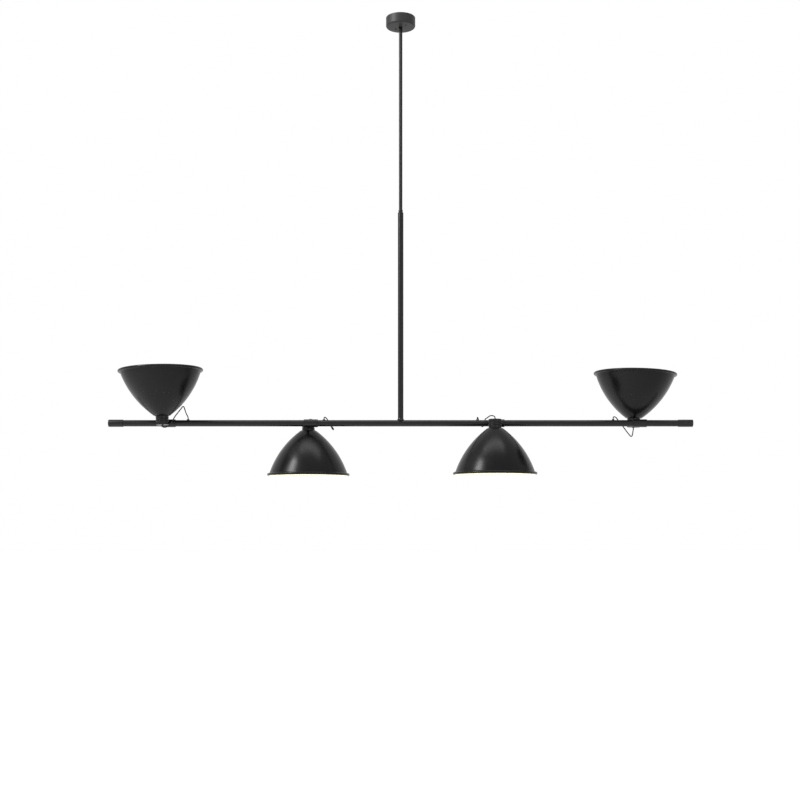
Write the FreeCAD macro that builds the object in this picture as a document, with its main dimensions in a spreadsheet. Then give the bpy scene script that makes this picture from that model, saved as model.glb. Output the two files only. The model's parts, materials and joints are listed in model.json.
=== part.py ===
"""A hanging pool table lamp: a ceiling rose, a two-stage stem, a long bar and four turning lamp heads.

Millimetres, +Z up. The origin is the centre of the ceiling face. The bar runs along X, and
the front is -Y. Each head hangs beside the bar on a pivot bolt, and each pivot bolt stands on
a collar that turns round the bar.
"""
import FreeCAD, Part
import math
import os
import Sketcher

from FreeCAD import Placement, Rotation, Vector

X_AXIS, Y_AXIS, Z_AXIS = Vector(1, 0, 0), Vector(0, 1, 0), Vector(0, 0, 1)
OVERCUT = 1    # how far a cut runs past what it cuts

# ---------------------------------------------------------------- driving dimensions
SIZES = {
    # fits
    "turn_gap": 0.05,            # radial clearance of every turned fit
    # ceiling rose
    "canopy_radius": 50,
    "canopy_height": 33,
    "canopy_wall": 1.5,
    "canopy_edge": 3.5,          # rounding of the lower edge
    "plate_thickness": 2.5,
    "plate_margin": 2.5,         # gap between the plate and the cover's wall
    "ceiling_hole_spacing": 60,
    "ceiling_hole_radius": 2.75,
    "supply_hole_radius": 6,
    "supply_inset": 19,          # cover's skin to the supply hole's centre
    "boss_radius": 9,
    "cover_screw_circle": 24,
    "cover_screw_angle": 137,
    "cover_screw_radius": 2,
    "cover_screw_head": 3.4,
    "cover_screw_dome": 1.8,
    "cover_screw_bevel": 1,
    "cover_screw_length": 9,
    "pillar_radius": 3.6,
    "tap_depth": 10,
    "terminal_width": 28,
    "terminal_depth": 13,
    "terminal_height": 12,
    "terminal_inset": 16,        # cover's skin to the block's middle
    "terminal_well": 2.2,
    "terminal_pitch": 8.4,
    # swivel
    "cover_gap": 6,              # socket's bottom to the cover's outside
    "socket_length": 18,
    "socket_wall": 2.45,
    "socket_floor": 5,
    "socket_gap": 0.5,           # ceiling to the socket's thread end
    "thread_radius": 5,
    "wire_radius": 3,
    "flange_step": 3,
    "flange_height": 8,
    "flange_play": 1,
    "spigot_radius": 4.5,
    "spigot_length": 16,
    # stem
    "bar_drop": 1388,            # ceiling to the bar's centre line
    "stage_drop": 669,           # ceiling to the top of the lower tube
    "rod_radius": 6,
    "rod_play": 1.0,             # rod to the rose, all round and above
    "rod_entry": 20,             # how far the rod goes into the reducer
    "reducer_wall": 1.35,
    "reducer_height": 11,
    "reducer_groove": 0.7,
    "reducer_edge": 0.6,
    "reducer_waist": 2.6,        # tube's top to the groove
    "reducer_slope": 1,          # the height of each side of the groove
    "tube_radius": 9.5,
    "tube_wall": 1.5,
    "plug_depth": 22,            # how far the reducer and the saddle go into the tube
    "saddle_height": 6,
    "saddle_flare": 2,
    "flare_height": 4.4,
    "flare_bend": 2.8,           # rim to the bend in the flare
    "saddle_lap": 3,             # how far its foot reaches down beside the bar's crown
    "nut_radius": 7.5,
    "nut_sink": 4,               # bar's inner crown to the nut's face
    "nut_height": 4.5,
    "nipple_gap": 2,             # the nipple's end to the saddle's
    # bar
    "bar_half": 1000,
    "bar_radius": 11,
    "bar_wall": 1.5,
    "sleeve_length": 50,
    "sleeve_wall": 1.5,
    "sleeve_end": 3,
    "sleeve_edge": 1.2,
    "grub_radius": 2,
    "grub_inset": 12,            # sleeve's open end to its grub screw
    "grommet_hole": 3,
    "grommet_foot": 5,
    "grommet_tip": 2.9,
    "grommet_height": 3.2,
    "grommet_cone": 2.4,
    "grommet_lap": 3,            # how far its foot reaches down beside the bar's crown
    "grommet_sink": 1,           # how far its neck stands inside the bar
    "grommet_join": 0.6,
    # places along the bar
    "inner_lamp": 319.5,
    "outer_lamp": 806.5,
    "inner_grommet": 57,         # head to grommet, towards the stem
    "outer_grommet": 79,
    # collar and pivot
    "collar_wall": 2.45,
    "collar_length": 48,
    "collar_shift": 12,          # pivot to the collar's middle
    "collar_edge": 0.8,
    "collar_pad": 8,             # the pad's stand above the collar's skin
    "pad_radius": 7,
    "washer_thickness": 1.5,
    "bolt_radius": 3.5,
    "bolt_head_radius": 5.2,
    "bolt_head_height": 3.5,
    "bolt_edge": 0.6,
    "bolt_clear": 1.4,           # bolt's tip to the bar
    "grub_clear": 0.25,
    # head
    "neck_radius": 22,
    "neck_wall": 2,
    "neck_tail": 10,            # pivot to the closed end
    "neck_reach": 21,            # pivot to the shade's seat
    "neck_edge": 0.8,
    "neck_pad": 5,               # the pad's stand above the cup's skin
    "neck_pad_depth": 4,         # and how far it reaches inside the skin
    "groove_depth": 1.1,
    "groove_width": 2.2,
    "groove_first": 1.2,
    "groove_pitch": 8.6,
    "groove_slope": 0.4,
    "gland_hole": 3,
    "gland_foot": 4.8,
    "gland_tip": 2.7,
    "gland_height": 2.2,
    "gland_rim": 0.8,
    "gland_grip": 11,            # the gland's thread inside the cup's floor
    "lead_diameter": 3.6,
    "holder_post": 6.5,
    "holder_base": 9.5,
    "post_floor": 1,             # flange's face to the end of the post's bore
    "holder_gap": 1,             # flange to the cup's inside
    "holder_wall": 3.6,
    "holder_mouth": 50,
    "holder_floor": 24,
    "ring_wall": 5.75,
    "ring_height": 4,
    "ring_bevel": 1,
    "crown_step": 4,             # neck's skin to the shade's crown corner
    "shade_length": 153,         # seat to the rim's middle
    "shade_mouth": 135.5,
    "shade_curve": 301.8,
    "shade_wall": 1.2,
    "bead_radius": 4.75,
    "bead_centre": 137.75,
    "bead_drop": 2,              # wall's end to the bead's middle
    "bulb_cap": 13.1,
    "cap_gap": 0.5,              # bulb's cap to the holder's bore
    "cap_seat": 0.3,             # bulb's contact to the holder's floor
    "cap_contact": 4.5,
    "cap_bevel": 3,
    "cap_cone": 5,
    "cap_show": 1,               # how far the cap stands out of the holder
    "bulb_flare": 1.4,
    "bulb_lip": 2,               # cap's end to the widest of the flare's start
    "bulb_radius": 30,
    "bulb_centre": 100,
    "lean": 2,                   # outward lean of the outer heads at rest, degrees
}

doc = FreeCAD.newDocument("pool_table_lamp")
sheet = doc.addObject("Spreadsheet::Sheet", "dims")
for row, (alias, number) in enumerate(SIZES.items(), start=1):
    sheet.set("A%d" % row, alias)
    sheet.set("B%d" % row, str(number))
    sheet.setAlias("B%d" % row, alias)
doc.recompute()


class Size:
    """A length that knows both its number and the sheet expression that gives it."""

    def __init__(self, number, text):
        self.number = number
        self.text = text

    def _with(self, other, sign, swap=False):
        if not isinstance(other, Size):
            other = Size(other, repr(other))
        a, b = (other, self) if swap else (self, other)
        number = {"+": a.number + b.number, "-": a.number - b.number, "*": a.number * b.number}[sign]
        return Size(number, "(%s %s %s)" % (a.text, sign, b.text))

    def __add__(self, other):
        return self._with(other, "+")

    def __radd__(self, other):
        return self._with(other, "+", swap=True)

    def __sub__(self, other):
        return self._with(other, "-")

    def __rsub__(self, other):
        return self._with(other, "-", swap=True)

    def __mul__(self, other):
        return self._with(other, "*")

    def __rmul__(self, other):
        return self._with(other, "*", swap=True)

    def __neg__(self):
        return Size(-self.number, "(0 - %s)" % self.text)


class Sheet:
    """Reads any alias of the spreadsheet as a Size."""

    def __getattr__(self, alias):
        return Size(float(sheet.get(alias)), "dims.%s" % alias)


def as_size(value):
    return value if isinstance(value, Size) else Size(float(value), repr(float(value)))


d = Sheet()

# sizes that follow from the ones above
SOCKET_BOTTOM = d.canopy_height - d.cover_gap
BOSS_FACE = SOCKET_BOTTOM - d.socket_length
FLANGE_RADIUS = d.spigot_radius + d.flange_step
SOCKET_RADIUS = FLANGE_RADIUS + d.turn_gap + d.socket_wall
SADDLE_RIM = d.bar_radius + d.saddle_height
COLLAR_SKIN = d.bar_radius + d.turn_gap + d.collar_wall
COLLAR_FACE = COLLAR_SKIN + d.collar_pad
NECK_FACE = d.neck_radius + d.neck_pad
NECK_INSIDE_FACE = d.neck_radius - d.neck_pad_depth
HEAD_OFFSET = COLLAR_FACE + d.washer_thickness + NECK_FACE      # bar's centre line to the head's
HOLDER_BORE = d.bulb_cap + d.cap_gap
HOLDER_RADIUS = HOLDER_BORE + d.holder_wall


# ---------------------------------------------------------------- helpers for features
def new_body(name):
    body = doc.addObject("PartDesign::Body", name)
    body.Label = name
    return body


def plane_of(body, role):
    return [f for f in body.Origin.OriginFeatures if f.Role == role][0]


def new_sketch(body, name, role, height=0):
    """A sketch on one of the body's own origin planes, moved along the plane's normal."""
    sketch = body.newObject("Sketcher::SketchObject", name)
    sketch.AttachmentSupport = [(plane_of(body, role), "")]
    sketch.MapMode = "FlatFace"
    height = as_size(height)
    sketch.AttachmentOffset = Placement(Vector(0, 0, height.number), Rotation())
    sketch.setExpression("AttachmentOffset.Base.z", height.text)
    return sketch


def hold(sketch, kind, *geometry, value):
    """Adds one driving constraint and binds it to the sheet."""
    value = as_size(value)
    index = sketch.addConstraint(Sketcher.Constraint(kind, *geometry, value.number))
    sketch.setExpression("Constraints[%d]" % index, value.text)


def pin_point(sketch, geometry, end, x, y):
    """Holds one end of a line or an arc at (x, y) from the sketch's origin."""
    hold(sketch, "DistanceX", -1, 1, geometry, end, value=x)
    hold(sketch, "DistanceY", -1, 1, geometry, end, value=y)


def outline(sketch, corners):
    """A closed outline of straight lines, each corner held by the sheet."""
    corners = [(as_size(x), as_size(y)) for x, y in corners]
    points = [Vector(x.number, y.number, 0) for x, y in corners]
    count = len(points)
    for i in range(count):
        sketch.addGeometry(Part.LineSegment(points[i], points[(i + 1) % count]), False)
    for i in range(count):
        sketch.addConstraint(Sketcher.Constraint("Coincident", i, 2, (i + 1) % count, 1))
    for i, (x, y) in enumerate(corners):
        pin_point(sketch, i, 1, x, y)


def circle(sketch, radius, x=0, y=0):
    radius, x, y = as_size(radius), as_size(x), as_size(y)
    centre = Vector(x.number, y.number, 0)
    index = sketch.addGeometry(Part.Circle(centre, Z_AXIS, radius.number), False)
    hold(sketch, "Radius", index, value=radius)
    pin_point(sketch, index, 3, x, y)


def revolve(body, sketch, axis="V_Axis"):
    feature = body.newObject("PartDesign::Revolution", body.Name + "_turned")
    feature.Profile = sketch
    feature.ReferenceAxis = (sketch, [axis])
    feature.Angle = 360
    sketch.Visibility = False
    return feature


def turned(name, corners, along="Z"):
    """A turned piece. Each corner is (radius, height) along Z, or (place, radius) along X."""
    body = new_body(name)
    sketch = new_sketch(body, name + "_outline", "XZ_Plane")
    outline(sketch, corners)
    revolve(body, sketch, "V_Axis" if along == "Z" else "H_Axis")
    return body


def pad(body, sketch, length, reverse=False, both_ways=False):
    length = as_size(length)
    feature = body.newObject("PartDesign::Pad", sketch.Name + "_pad")
    feature.Profile = sketch
    feature.Length = length.number
    feature.setExpression("Length", length.text)
    feature.Reversed = reverse
    feature.Midplane = both_ways
    return feature


def pocket(body, sketch, length, reverse=False):
    """Cuts, and makes sure that something was cut."""
    length = as_size(length)
    doc.recompute()
    before = body.Shape.Volume
    feature = body.newObject("PartDesign::Pocket", sketch.Name + "_pocket")
    feature.Profile = sketch
    feature.Length = length.number
    feature.setExpression("Length", length.text)
    feature.Reversed = reverse
    doc.recompute()
    if not body.Shape.Volume < before - 0.1:
        raise RuntimeError("%s cuts nothing" % feature.Name)
    return feature


def soften(body, radius, wanted, kind="Fillet"):
    """Rounds or bevels every edge of the body's tip that wanted(edge) picks."""
    doc.recompute()
    tip = body.Tip
    names = ["Edge%d" % i for i, edge in enumerate(tip.Shape.Edges, start=1) if wanted(edge)]
    if not names:
        raise RuntimeError("%s has no edge to soften" % body.Name)
    feature = body.newObject("PartDesign::" + kind, body.Name + "_edges")
    feature.Base = (tip, names)
    size = "Radius" if kind == "Fillet" else "Size"
    radius = as_size(radius)
    setattr(feature, size, radius.number)
    feature.setExpression(size, radius.text)
    doc.recompute()
    return feature


def ring_edge(radius, along, place):
    """Picks the circular edge of that radius whose centre lies at place along an axis."""
    def wanted(edge):
        curve = edge.Curve
        if not hasattr(curve, "Radius") or abs(curve.Radius - radius.number) > 0.01:
            return False
        return abs(curve.Center.dot(along) - place.number) < 0.01
    return wanted


def cylinder(name, radius, length, place=(0, 0, 0), rotation=Rotation()):
    """A Part cylinder along Z from its place, turned by rotation."""
    obj = doc.addObject("Part::Cylinder", name)
    obj.Label = name
    radius, length = as_size(radius), as_size(length)
    obj.setExpression("Radius", radius.text)
    obj.setExpression("Height", length.text)
    put(obj, place, rotation)
    return obj


def put(obj, place, rotation=Rotation()):
    """Turns an object, and ties its place to the sheet."""
    place = [as_size(p) for p in place]
    obj.Placement = Placement(Vector(*(p.number for p in place)), rotation)
    for letter, value in zip("xyz", place):
        obj.setExpression("Placement.Base." + letter, value.text)


def group(name, members):
    """Equal fasteners that share one node as separate solids."""
    obj = doc.addObject("Part::Compound", name)
    obj.Label = name
    obj.Links = members
    return obj


nodes = []


def keep(obj):
    nodes.append(obj)
    return obj


# ---------------------------------------------------------------- ceiling rose
def ceiling_plate():
    """A steel disc with a threaded boss for the swivel and two pillars for the cover."""
    body = new_body("ceiling_plate")
    disc = new_sketch(body, "plate_disc", "XY_Plane")
    circle(disc, d.canopy_radius - d.canopy_wall - d.plate_margin)
    pad(body, disc, d.plate_thickness, reverse=True)
    boss = new_sketch(body, "plate_boss", "XY_Plane")
    circle(boss, d.boss_radius)
    pad(body, boss, BOSS_FACE, reverse=True)
    pillars = new_sketch(body, "plate_pillars", "XY_Plane")
    for x, y in cover_screw_places():
        circle(pillars, d.pillar_radius, x, y)
    pad(body, pillars, d.canopy_height - d.canopy_wall, reverse=True)
    holes = new_sketch(body, "plate_holes", "XY_Plane")
    circle(holes, d.thread_radius + d.turn_gap)
    half = d.ceiling_hole_spacing * 0.5
    circle(holes, d.ceiling_hole_radius, half)
    circle(holes, d.ceiling_hole_radius, -half)
    circle(holes, d.supply_hole_radius, 0, d.canopy_radius - d.supply_inset)
    pocket(body, holes, BOSS_FACE)
    taps = new_sketch(body, "pillar_holes", "XY_Plane", d.canopy_wall - d.canopy_height)
    for x, y in cover_screw_places():
        circle(taps, d.cover_screw_radius + d.turn_gap, x, y)
    pocket(body, taps, d.tap_depth, reverse=True)
    return body


def cover_screw_places():
    """The two cover screws stand opposite each other on their circle."""
    angle = math.radians(d.cover_screw_angle.number)
    x = d.cover_screw_circle * math.cos(angle)
    y = d.cover_screw_circle * math.sin(angle)
    return [(x, y), (-x, -y)]


def canopy_cover():
    """The visible cup of the rose, open against the ceiling."""
    wall, low = d.canopy_wall, -d.canopy_height
    hole = d.rod_radius + d.rod_play
    body = turned("canopy_cover", [
        (d.canopy_radius, 0), (d.canopy_radius, low), (hole, low), (hole, low + wall),
        (d.canopy_radius - wall, low + wall), (d.canopy_radius - wall, 0)])
    holes = new_sketch(body, "cover_holes", "XY_Plane", low + wall)
    for x, y in cover_screw_places():
        circle(holes, d.cover_screw_radius + d.turn_gap, x, y)
    pocket(body, holes, wall)
    soften(body, d.canopy_edge, ring_edge(d.canopy_radius, Z_AXIS, low))
    return body


def canopy_screws():
    """Domed screws through the cover's floor, up into the pillars."""
    screws = []
    head, dome = d.cover_screw_head, d.cover_screw_dome
    shank, top = d.cover_screw_radius, d.cover_screw_length
    for i, (x, y) in enumerate(cover_screw_places()):
        screw = turned("canopy_screw_%d" % i, [
            (0, -dome), (head - d.cover_screw_bevel, -dome), (head, -(dome * 0.5)), (head, 0),
            (shank, 0), (shank, top), (0, top)])
        put(screw, (x, y, -d.canopy_height))
        screws.append(screw)
    return group("canopy_screws", screws)


def terminal_block():
    """The block that joins the supply wires to the lamp's, with its three screw wells."""
    body = new_body("terminal_block")
    face = new_sketch(body, "block_face", "XY_Plane")
    half, depth = d.terminal_width * 0.5, d.terminal_depth * 0.5
    outline(face, [(-half, -depth), (half, -depth), (half, depth), (-half, depth)])
    pad(body, face, d.terminal_height, reverse=True)
    wells = new_sketch(body, "block_wells", "XY_Plane", -d.terminal_height)
    for i in (-1, 0, 1):
        circle(wells, d.terminal_well, d.terminal_pitch * i)
    pocket(body, wells, d.terminal_height * 0.5, reverse=True)
    put(body, (0, d.terminal_inset - d.canopy_radius, -d.plate_thickness))
    return body


def swivel_socket():
    """Screwed into the plate's boss, it carries the stem's flange on its floor."""
    inside, neck = FLANGE_RADIUS + d.turn_gap, d.spigot_radius + d.turn_gap
    floor = d.socket_floor - SOCKET_BOTTOM
    roof = floor + d.flange_height + d.flange_play
    top = -d.socket_gap
    return turned("swivel_socket", [
        (d.wire_radius, top), (d.thread_radius, top), (d.thread_radius, -BOSS_FACE),
        (SOCKET_RADIUS, -BOSS_FACE), (SOCKET_RADIUS, -SOCKET_BOTTOM), (neck, -SOCKET_BOTTOM),
        (neck, floor), (inside, floor), (inside, roof), (d.wire_radius, roof)])


def swivel_stem():
    """A flange that turns in the socket, and a hollow spigot screwed into the rod."""
    floor = d.socket_floor - SOCKET_BOTTOM
    top, end = floor + d.flange_height, floor - d.socket_floor - d.spigot_length
    return turned("swivel_stem", [
        (d.wire_radius, top), (FLANGE_RADIUS, top), (FLANGE_RADIUS, floor),
        (d.spigot_radius, floor), (d.spigot_radius, end), (d.wire_radius, end)])


# ---------------------------------------------------------------- stem
def tube_between(name, outer, inner, top, bottom):
    """A straight tube round the stem's axis."""
    skin = cylinder(name + "_skin", outer, top - bottom, (0, 0, bottom))
    hollow = cylinder(name + "_hollow", inner, top - bottom + 2, (0, 0, bottom - 1))
    cut = doc.addObject("Part::Cut", name)
    cut.Label = name
    cut.Base, cut.Tool = skin, hollow
    return cut


def stem_rod():
    return tube_between("stem_rod", d.rod_radius, d.spigot_radius + d.turn_gap,
                        -(SOCKET_BOTTOM + d.rod_play), -(d.stage_drop + d.rod_entry))


def stem_reducer():
    """A turned plug that steps the thin rod down into the wider tube."""
    bore, stage = d.rod_radius + d.turn_gap, -d.stage_drop
    plug, end = d.tube_radius - d.tube_wall - d.turn_gap, stage - d.plug_depth
    top, neck = stage + d.reducer_height, bore + d.reducer_wall
    groove, edge = neck - d.reducer_groove, d.reducer_edge
    waist, slope = stage + d.reducer_waist, d.reducer_slope
    return turned("stem_reducer", [
        (bore, top), (neck - edge, top), (neck, top - edge), (neck, waist + slope * 2),
        (groove, waist + slope), (neck, waist), (d.tube_radius - edge, stage + edge * 2),
        (d.tube_radius, stage), (plug, stage), (plug, end),
        (d.wire_radius, end), (d.wire_radius, stage - d.rod_entry), (bore, stage - d.rod_entry)])


def stem_tube():
    return tube_between("stem_tube", d.tube_radius, d.tube_radius - d.tube_wall,
                        -d.stage_drop, SADDLE_RIM - d.bar_drop)


def stem_saddle():
    """The flared foot of the stem, hollowed to sit on the bar, with a plug up in the tube."""
    rim, foot, top = SADDLE_RIM, d.bar_radius - d.saddle_lap, SADDLE_RIM + d.plug_depth
    wide, skin = d.tube_radius + d.saddle_flare, d.tube_radius
    plug, bore = d.tube_radius - d.tube_wall - d.turn_gap, d.thread_radius + d.turn_gap
    body = turned("stem_saddle", [
        (bore, foot), (wide, foot), (wide, rim - d.flare_height),
        (skin + d.saddle_flare * 0.5, rim - d.flare_bend), (skin, rim),
        (plug, rim), (plug, top), (bore, top)])
    seat = new_sketch(body, "saddle_seat", "YZ_Plane", -(wide + OVERCUT))
    circle(seat, d.bar_radius + d.turn_gap)
    pocket(body, seat, (wide + OVERCUT) * 2, reverse=True)
    put(body, (0, 0, -d.bar_drop))
    return body


def saddle_nipple():
    """A hollow bolt: its head is inside the bar and its thread runs up into the saddle."""
    head = d.bar_radius - d.bar_wall - d.nut_sink
    top = SADDLE_RIM + d.plug_depth - d.nipple_gap
    body = turned("saddle_nipple", [
        (d.wire_radius, head - d.nut_height), (d.nut_radius, head - d.nut_height),
        (d.nut_radius, head), (d.thread_radius, head), (d.thread_radius, top),
        (d.wire_radius, top)])
    put(body, (0, 0, -d.bar_drop))
    return body


# ---------------------------------------------------------------- bar
def bar_tube():
    """The long tube, with a hole for the stem and one for each lead in its top wall."""
    body = new_body("bar_tube")
    ring = new_sketch(body, "bar_section", "YZ_Plane")
    circle(ring, d.bar_radius)
    circle(ring, d.bar_radius - d.bar_wall)
    pad(body, ring, (d.bar_half - d.sleeve_end) * 2, both_ways=True)
    holes = new_sketch(body, "bar_holes", "XY_Plane")
    circle(holes, d.thread_radius + d.turn_gap)
    for lamp in LAMPS:
        circle(holes, d.grommet_hole + d.turn_gap, lamp.grommet_x)
    pocket(body, holes, d.bar_radius + OVERCUT, reverse=True)
    put(body, (0, 0, -d.bar_drop))
    return body


def end_sleeve(side, turn):
    """A closed sleeve pushed over the bar's end."""
    inside = d.bar_radius + d.turn_gap
    outside = inside + d.sleeve_wall
    start, end = d.bar_half - d.sleeve_length, d.bar_half
    body = turned("end_sleeve_" + side, [
        (start, inside), (start, outside), (end, outside), (end, 0),
        (end - d.sleeve_end, 0), (end - d.sleeve_end, inside)], along="X")
    hole = new_sketch(body, "sleeve_hole_" + side, "XY_Plane", -(outside + OVERCUT))
    circle(hole, d.grub_radius + d.turn_gap, start + d.grub_inset)
    pocket(body, hole, outside, reverse=True)
    soften(body, d.sleeve_edge, ring_edge(outside, X_AXIS, end))
    put(body, (0, 0, -d.bar_drop), Rotation(Z_AXIS, turn))
    return body


def sleeve_screws():
    """One grub screw under each end sleeve."""
    screws = []
    for side in (-1, 1):
        top = -(d.bar_drop + d.bar_radius)
        place = (d.bar_half - d.sleeve_length + d.grub_inset) * side
        screws.append(cylinder("sleeve_screw_%d" % side, d.grub_radius, d.sleeve_wall,
                               (place, 0, top - d.sleeve_wall)))
    return group("sleeve_screws", screws)


def grommet(lamp):
    """A tapered bush, hollowed to stand on the bar, with a neck through the bar's wall."""
    bore = d.lead_diameter * 0.5 + d.turn_gap
    top, foot = d.bar_radius + d.grommet_height, d.bar_radius - d.grommet_lap
    body = turned("grommet_" + lamp.name, [
        (bore, foot), (d.grommet_foot, foot), (d.grommet_foot, top - d.grommet_cone),
        (d.grommet_tip, top), (bore, top)])
    seat = new_sketch(body, "grommet_seat_" + lamp.name, "YZ_Plane", -(d.grommet_foot + OVERCUT))
    circle(seat, d.bar_radius + d.turn_gap)
    pocket(body, seat, (d.grommet_foot + OVERCUT) * 2, reverse=True)
    neck = new_sketch(body, "grommet_neck_" + lamp.name, "XZ_Plane")
    low = d.bar_radius - d.bar_wall - d.grommet_sink
    high = d.bar_radius + d.grommet_join
    outline(neck, [(bore, low), (d.grommet_hole, low), (d.grommet_hole, high), (bore, high)])
    revolve(body, neck).Label = "grommet_neck_turned_" + lamp.name
    put(body, (lamp.grommet_x, 0, -d.bar_drop))
    return body


def bar_grommets():
    return group("bar_grommets", [grommet(lamp) for lamp in LAMPS])


# ---------------------------------------------------------------- lamps
class Lamp:
    """Where a lamp stands: its side of the bar (-1 in front), and up (+1) or down (-1)."""

    def __init__(self, name, x, gap, left, side, up, lean):
        self.name = name
        self.x = -x if left else x
        self.grommet_x = self.x + gap if left else self.x - gap
        self.side = side
        self.up = up
        self.lean = lean

    def collar_place(self):
        return (self.x, 0, -d.bar_drop)

    def collar_turn(self):
        return Rotation(X_AXIS, 0 if self.side < 0 else 180)

    def bolt_turn(self):
        return Rotation(X_AXIS, 90 * -self.side)

    def head_place(self):
        return (self.x, HEAD_OFFSET * self.side, -d.bar_drop)

    def head_turn(self):
        flip = {(-1, 1): Rotation(), (-1, -1): Rotation(Y_AXIS, 180),
                (1, 1): Rotation(Z_AXIS, 180), (1, -1): Rotation(X_AXIS, 180)}
        return Rotation(Y_AXIS, self.lean) * flip[self.side, self.up]


LAMPS = [
    Lamp("outer_left", d.outer_lamp, d.outer_grommet, True, -1, 1, -d.lean.number),
    Lamp("inner_left", d.inner_lamp, d.inner_grommet, True, 1, -1, 0),
    Lamp("inner_right", d.inner_lamp, d.inner_grommet, False, -1, -1, 0),
    Lamp("outer_right", d.outer_lamp, d.outer_grommet, False, 1, 1, d.lean.number),
]


def collar(lamp):
    """A sleeve that turns on the bar, with a pad towards the head for the pivot bolt."""
    half, edge, skin = d.collar_length * 0.5, d.collar_edge, COLLAR_SKIN
    low, high = d.collar_shift - half, d.collar_shift + half
    body = turned("collar_" + lamp.name, [
        (low, 0), (low, skin - edge), (low + edge, skin), (high - edge, skin),
        (high, skin - edge), (high, 0)], along="X")
    boss = new_sketch(body, "collar_pad_" + lamp.name, "XZ_Plane")
    circle(boss, d.pad_radius)
    pad(body, boss, COLLAR_FACE)
    hole = new_sketch(body, "collar_bore_" + lamp.name, "YZ_Plane", low - OVERCUT)
    circle(hole, d.bar_radius + d.turn_gap)
    pocket(body, hole, d.collar_length + OVERCUT * 2, reverse=True)
    tap = new_sketch(body, "collar_tap_" + lamp.name, "XZ_Plane", COLLAR_FACE)
    circle(tap, d.bolt_radius + d.turn_gap)
    pocket(body, tap, COLLAR_FACE - d.bar_radius)
    grub = new_sketch(body, "collar_grub_" + lamp.name, "XZ_Plane")
    circle(grub, d.grub_radius + d.turn_gap, d.collar_shift + half * 0.5)
    pocket(body, grub, skin + OVERCUT)
    put(body, lamp.collar_place(), lamp.collar_turn())
    return body


def collar_screw(lamp):
    """A soft-tipped grub screw that sets the collar's drag on the bar."""
    start = (d.bar_radius + d.turn_gap + d.grub_clear) * -lamp.side
    x = lamp.x + d.collar_shift + d.collar_length * 0.25
    return cylinder("collar_screw_" + lamp.name, d.grub_radius, d.collar_wall - d.grub_clear,
                    (x, start, -d.bar_drop), Rotation(X_AXIS, 90 * lamp.side))


def pivot_bolt(lamp):
    """A shoulder bolt: screwed into the collar, its head holds the neck cup's pad."""
    tip, under = d.bar_radius + d.bolt_clear, HEAD_OFFSET - NECK_INSIDE_FACE
    crown, head = under + d.bolt_head_height, d.bolt_head_radius
    body = turned("pivot_bolt_" + lamp.name, [
        (0, tip), (d.bolt_radius, tip), (d.bolt_radius, under), (head, under),
        (head, crown - d.bolt_edge), (head - d.bolt_edge, crown), (0, crown)])
    put(body, lamp.collar_place(), lamp.bolt_turn())
    return body


def friction_washer(lamp):
    """The fibre washer between the collar's pad and the neck cup's."""
    hole, rim = d.bolt_radius + d.turn_gap, d.pad_radius
    near, far = COLLAR_FACE, COLLAR_FACE + d.washer_thickness
    body = turned("friction_washer_" + lamp.name, [
        (hole, near), (rim, near), (rim, far), (hole, far)])
    put(body, lamp.collar_place(), lamp.bolt_turn())
    return body


def neck_cup(lamp):
    """A turned cup with two grooves, closed behind the pivot, with a bored pad on its side."""
    skin, edge = d.neck_radius, d.neck_edge
    inside, tail, seat = skin - d.neck_wall, -d.neck_tail, d.neck_reach
    hole = d.gland_hole + d.turn_gap
    corners = [(hole, tail), (skin - edge, tail), (skin, tail + edge)]
    for i in (0, 1):
        low = d.groove_first + d.groove_pitch * i
        high = low + d.groove_width
        root = skin - d.groove_depth
        corners += [(skin, low), (root, low + d.groove_slope), (root, high - d.groove_slope), (skin, high)]
    corners += [(skin, seat), (inside, seat), (inside, tail + d.neck_wall),
                (hole, tail + d.neck_wall)]
    body = turned("neck_cup_" + lamp.name, corners)
    boss = new_sketch(body, "neck_pad_" + lamp.name, "XZ_Plane", -NECK_INSIDE_FACE)
    circle(boss, d.pad_radius)
    pad(body, boss, NECK_FACE - NECK_INSIDE_FACE, reverse=True)
    hole = new_sketch(body, "neck_hole_" + lamp.name, "XZ_Plane", -(NECK_INSIDE_FACE - OVERCUT))
    circle(hole, d.bolt_radius + d.turn_gap)
    pocket(body, hole, NECK_FACE - NECK_INSIDE_FACE + OVERCUT * 2)
    put(body, lamp.head_place(), lamp.head_turn())
    return body


def cord_gland(lamp):
    """A hollow screw through the cup's closed end that lets the lead out."""
    bore, tail = d.lead_diameter * 0.5 + d.turn_gap, -d.neck_tail
    end, inside = tail - d.gland_height, tail + d.neck_wall + d.gland_grip
    body = turned("cord_gland_" + lamp.name, [
        (bore, end), (d.gland_tip, end), (d.gland_foot, tail - d.gland_rim), (d.gland_foot, tail),
        (d.gland_hole, tail), (d.gland_hole, inside), (bore, inside)])
    put(body, lamp.head_place(), lamp.head_turn())
    return body


def lampholder(lamp):
    """The moulded holder: a post down to the gland, a flange under the shade, and the socket."""
    post, floor = d.gland_hole + d.turn_gap, d.neck_wall - d.neck_tail
    seat, flange = d.neck_reach, d.neck_radius - d.neck_wall - d.holder_gap
    stop = d.holder_base - d.post_floor
    body = turned("lampholder_" + lamp.name, [
        (post, floor), (d.holder_post, floor), (d.holder_post, d.holder_base),
        (flange, d.holder_base), (flange, seat), (HOLDER_RADIUS, seat),
        (HOLDER_RADIUS, d.holder_mouth), (HOLDER_BORE, d.holder_mouth),
        (HOLDER_BORE, d.holder_floor), (0, d.holder_floor), (0, stop), (post, stop)])
    put(body, lamp.head_place(), lamp.head_turn())
    return body


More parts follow.
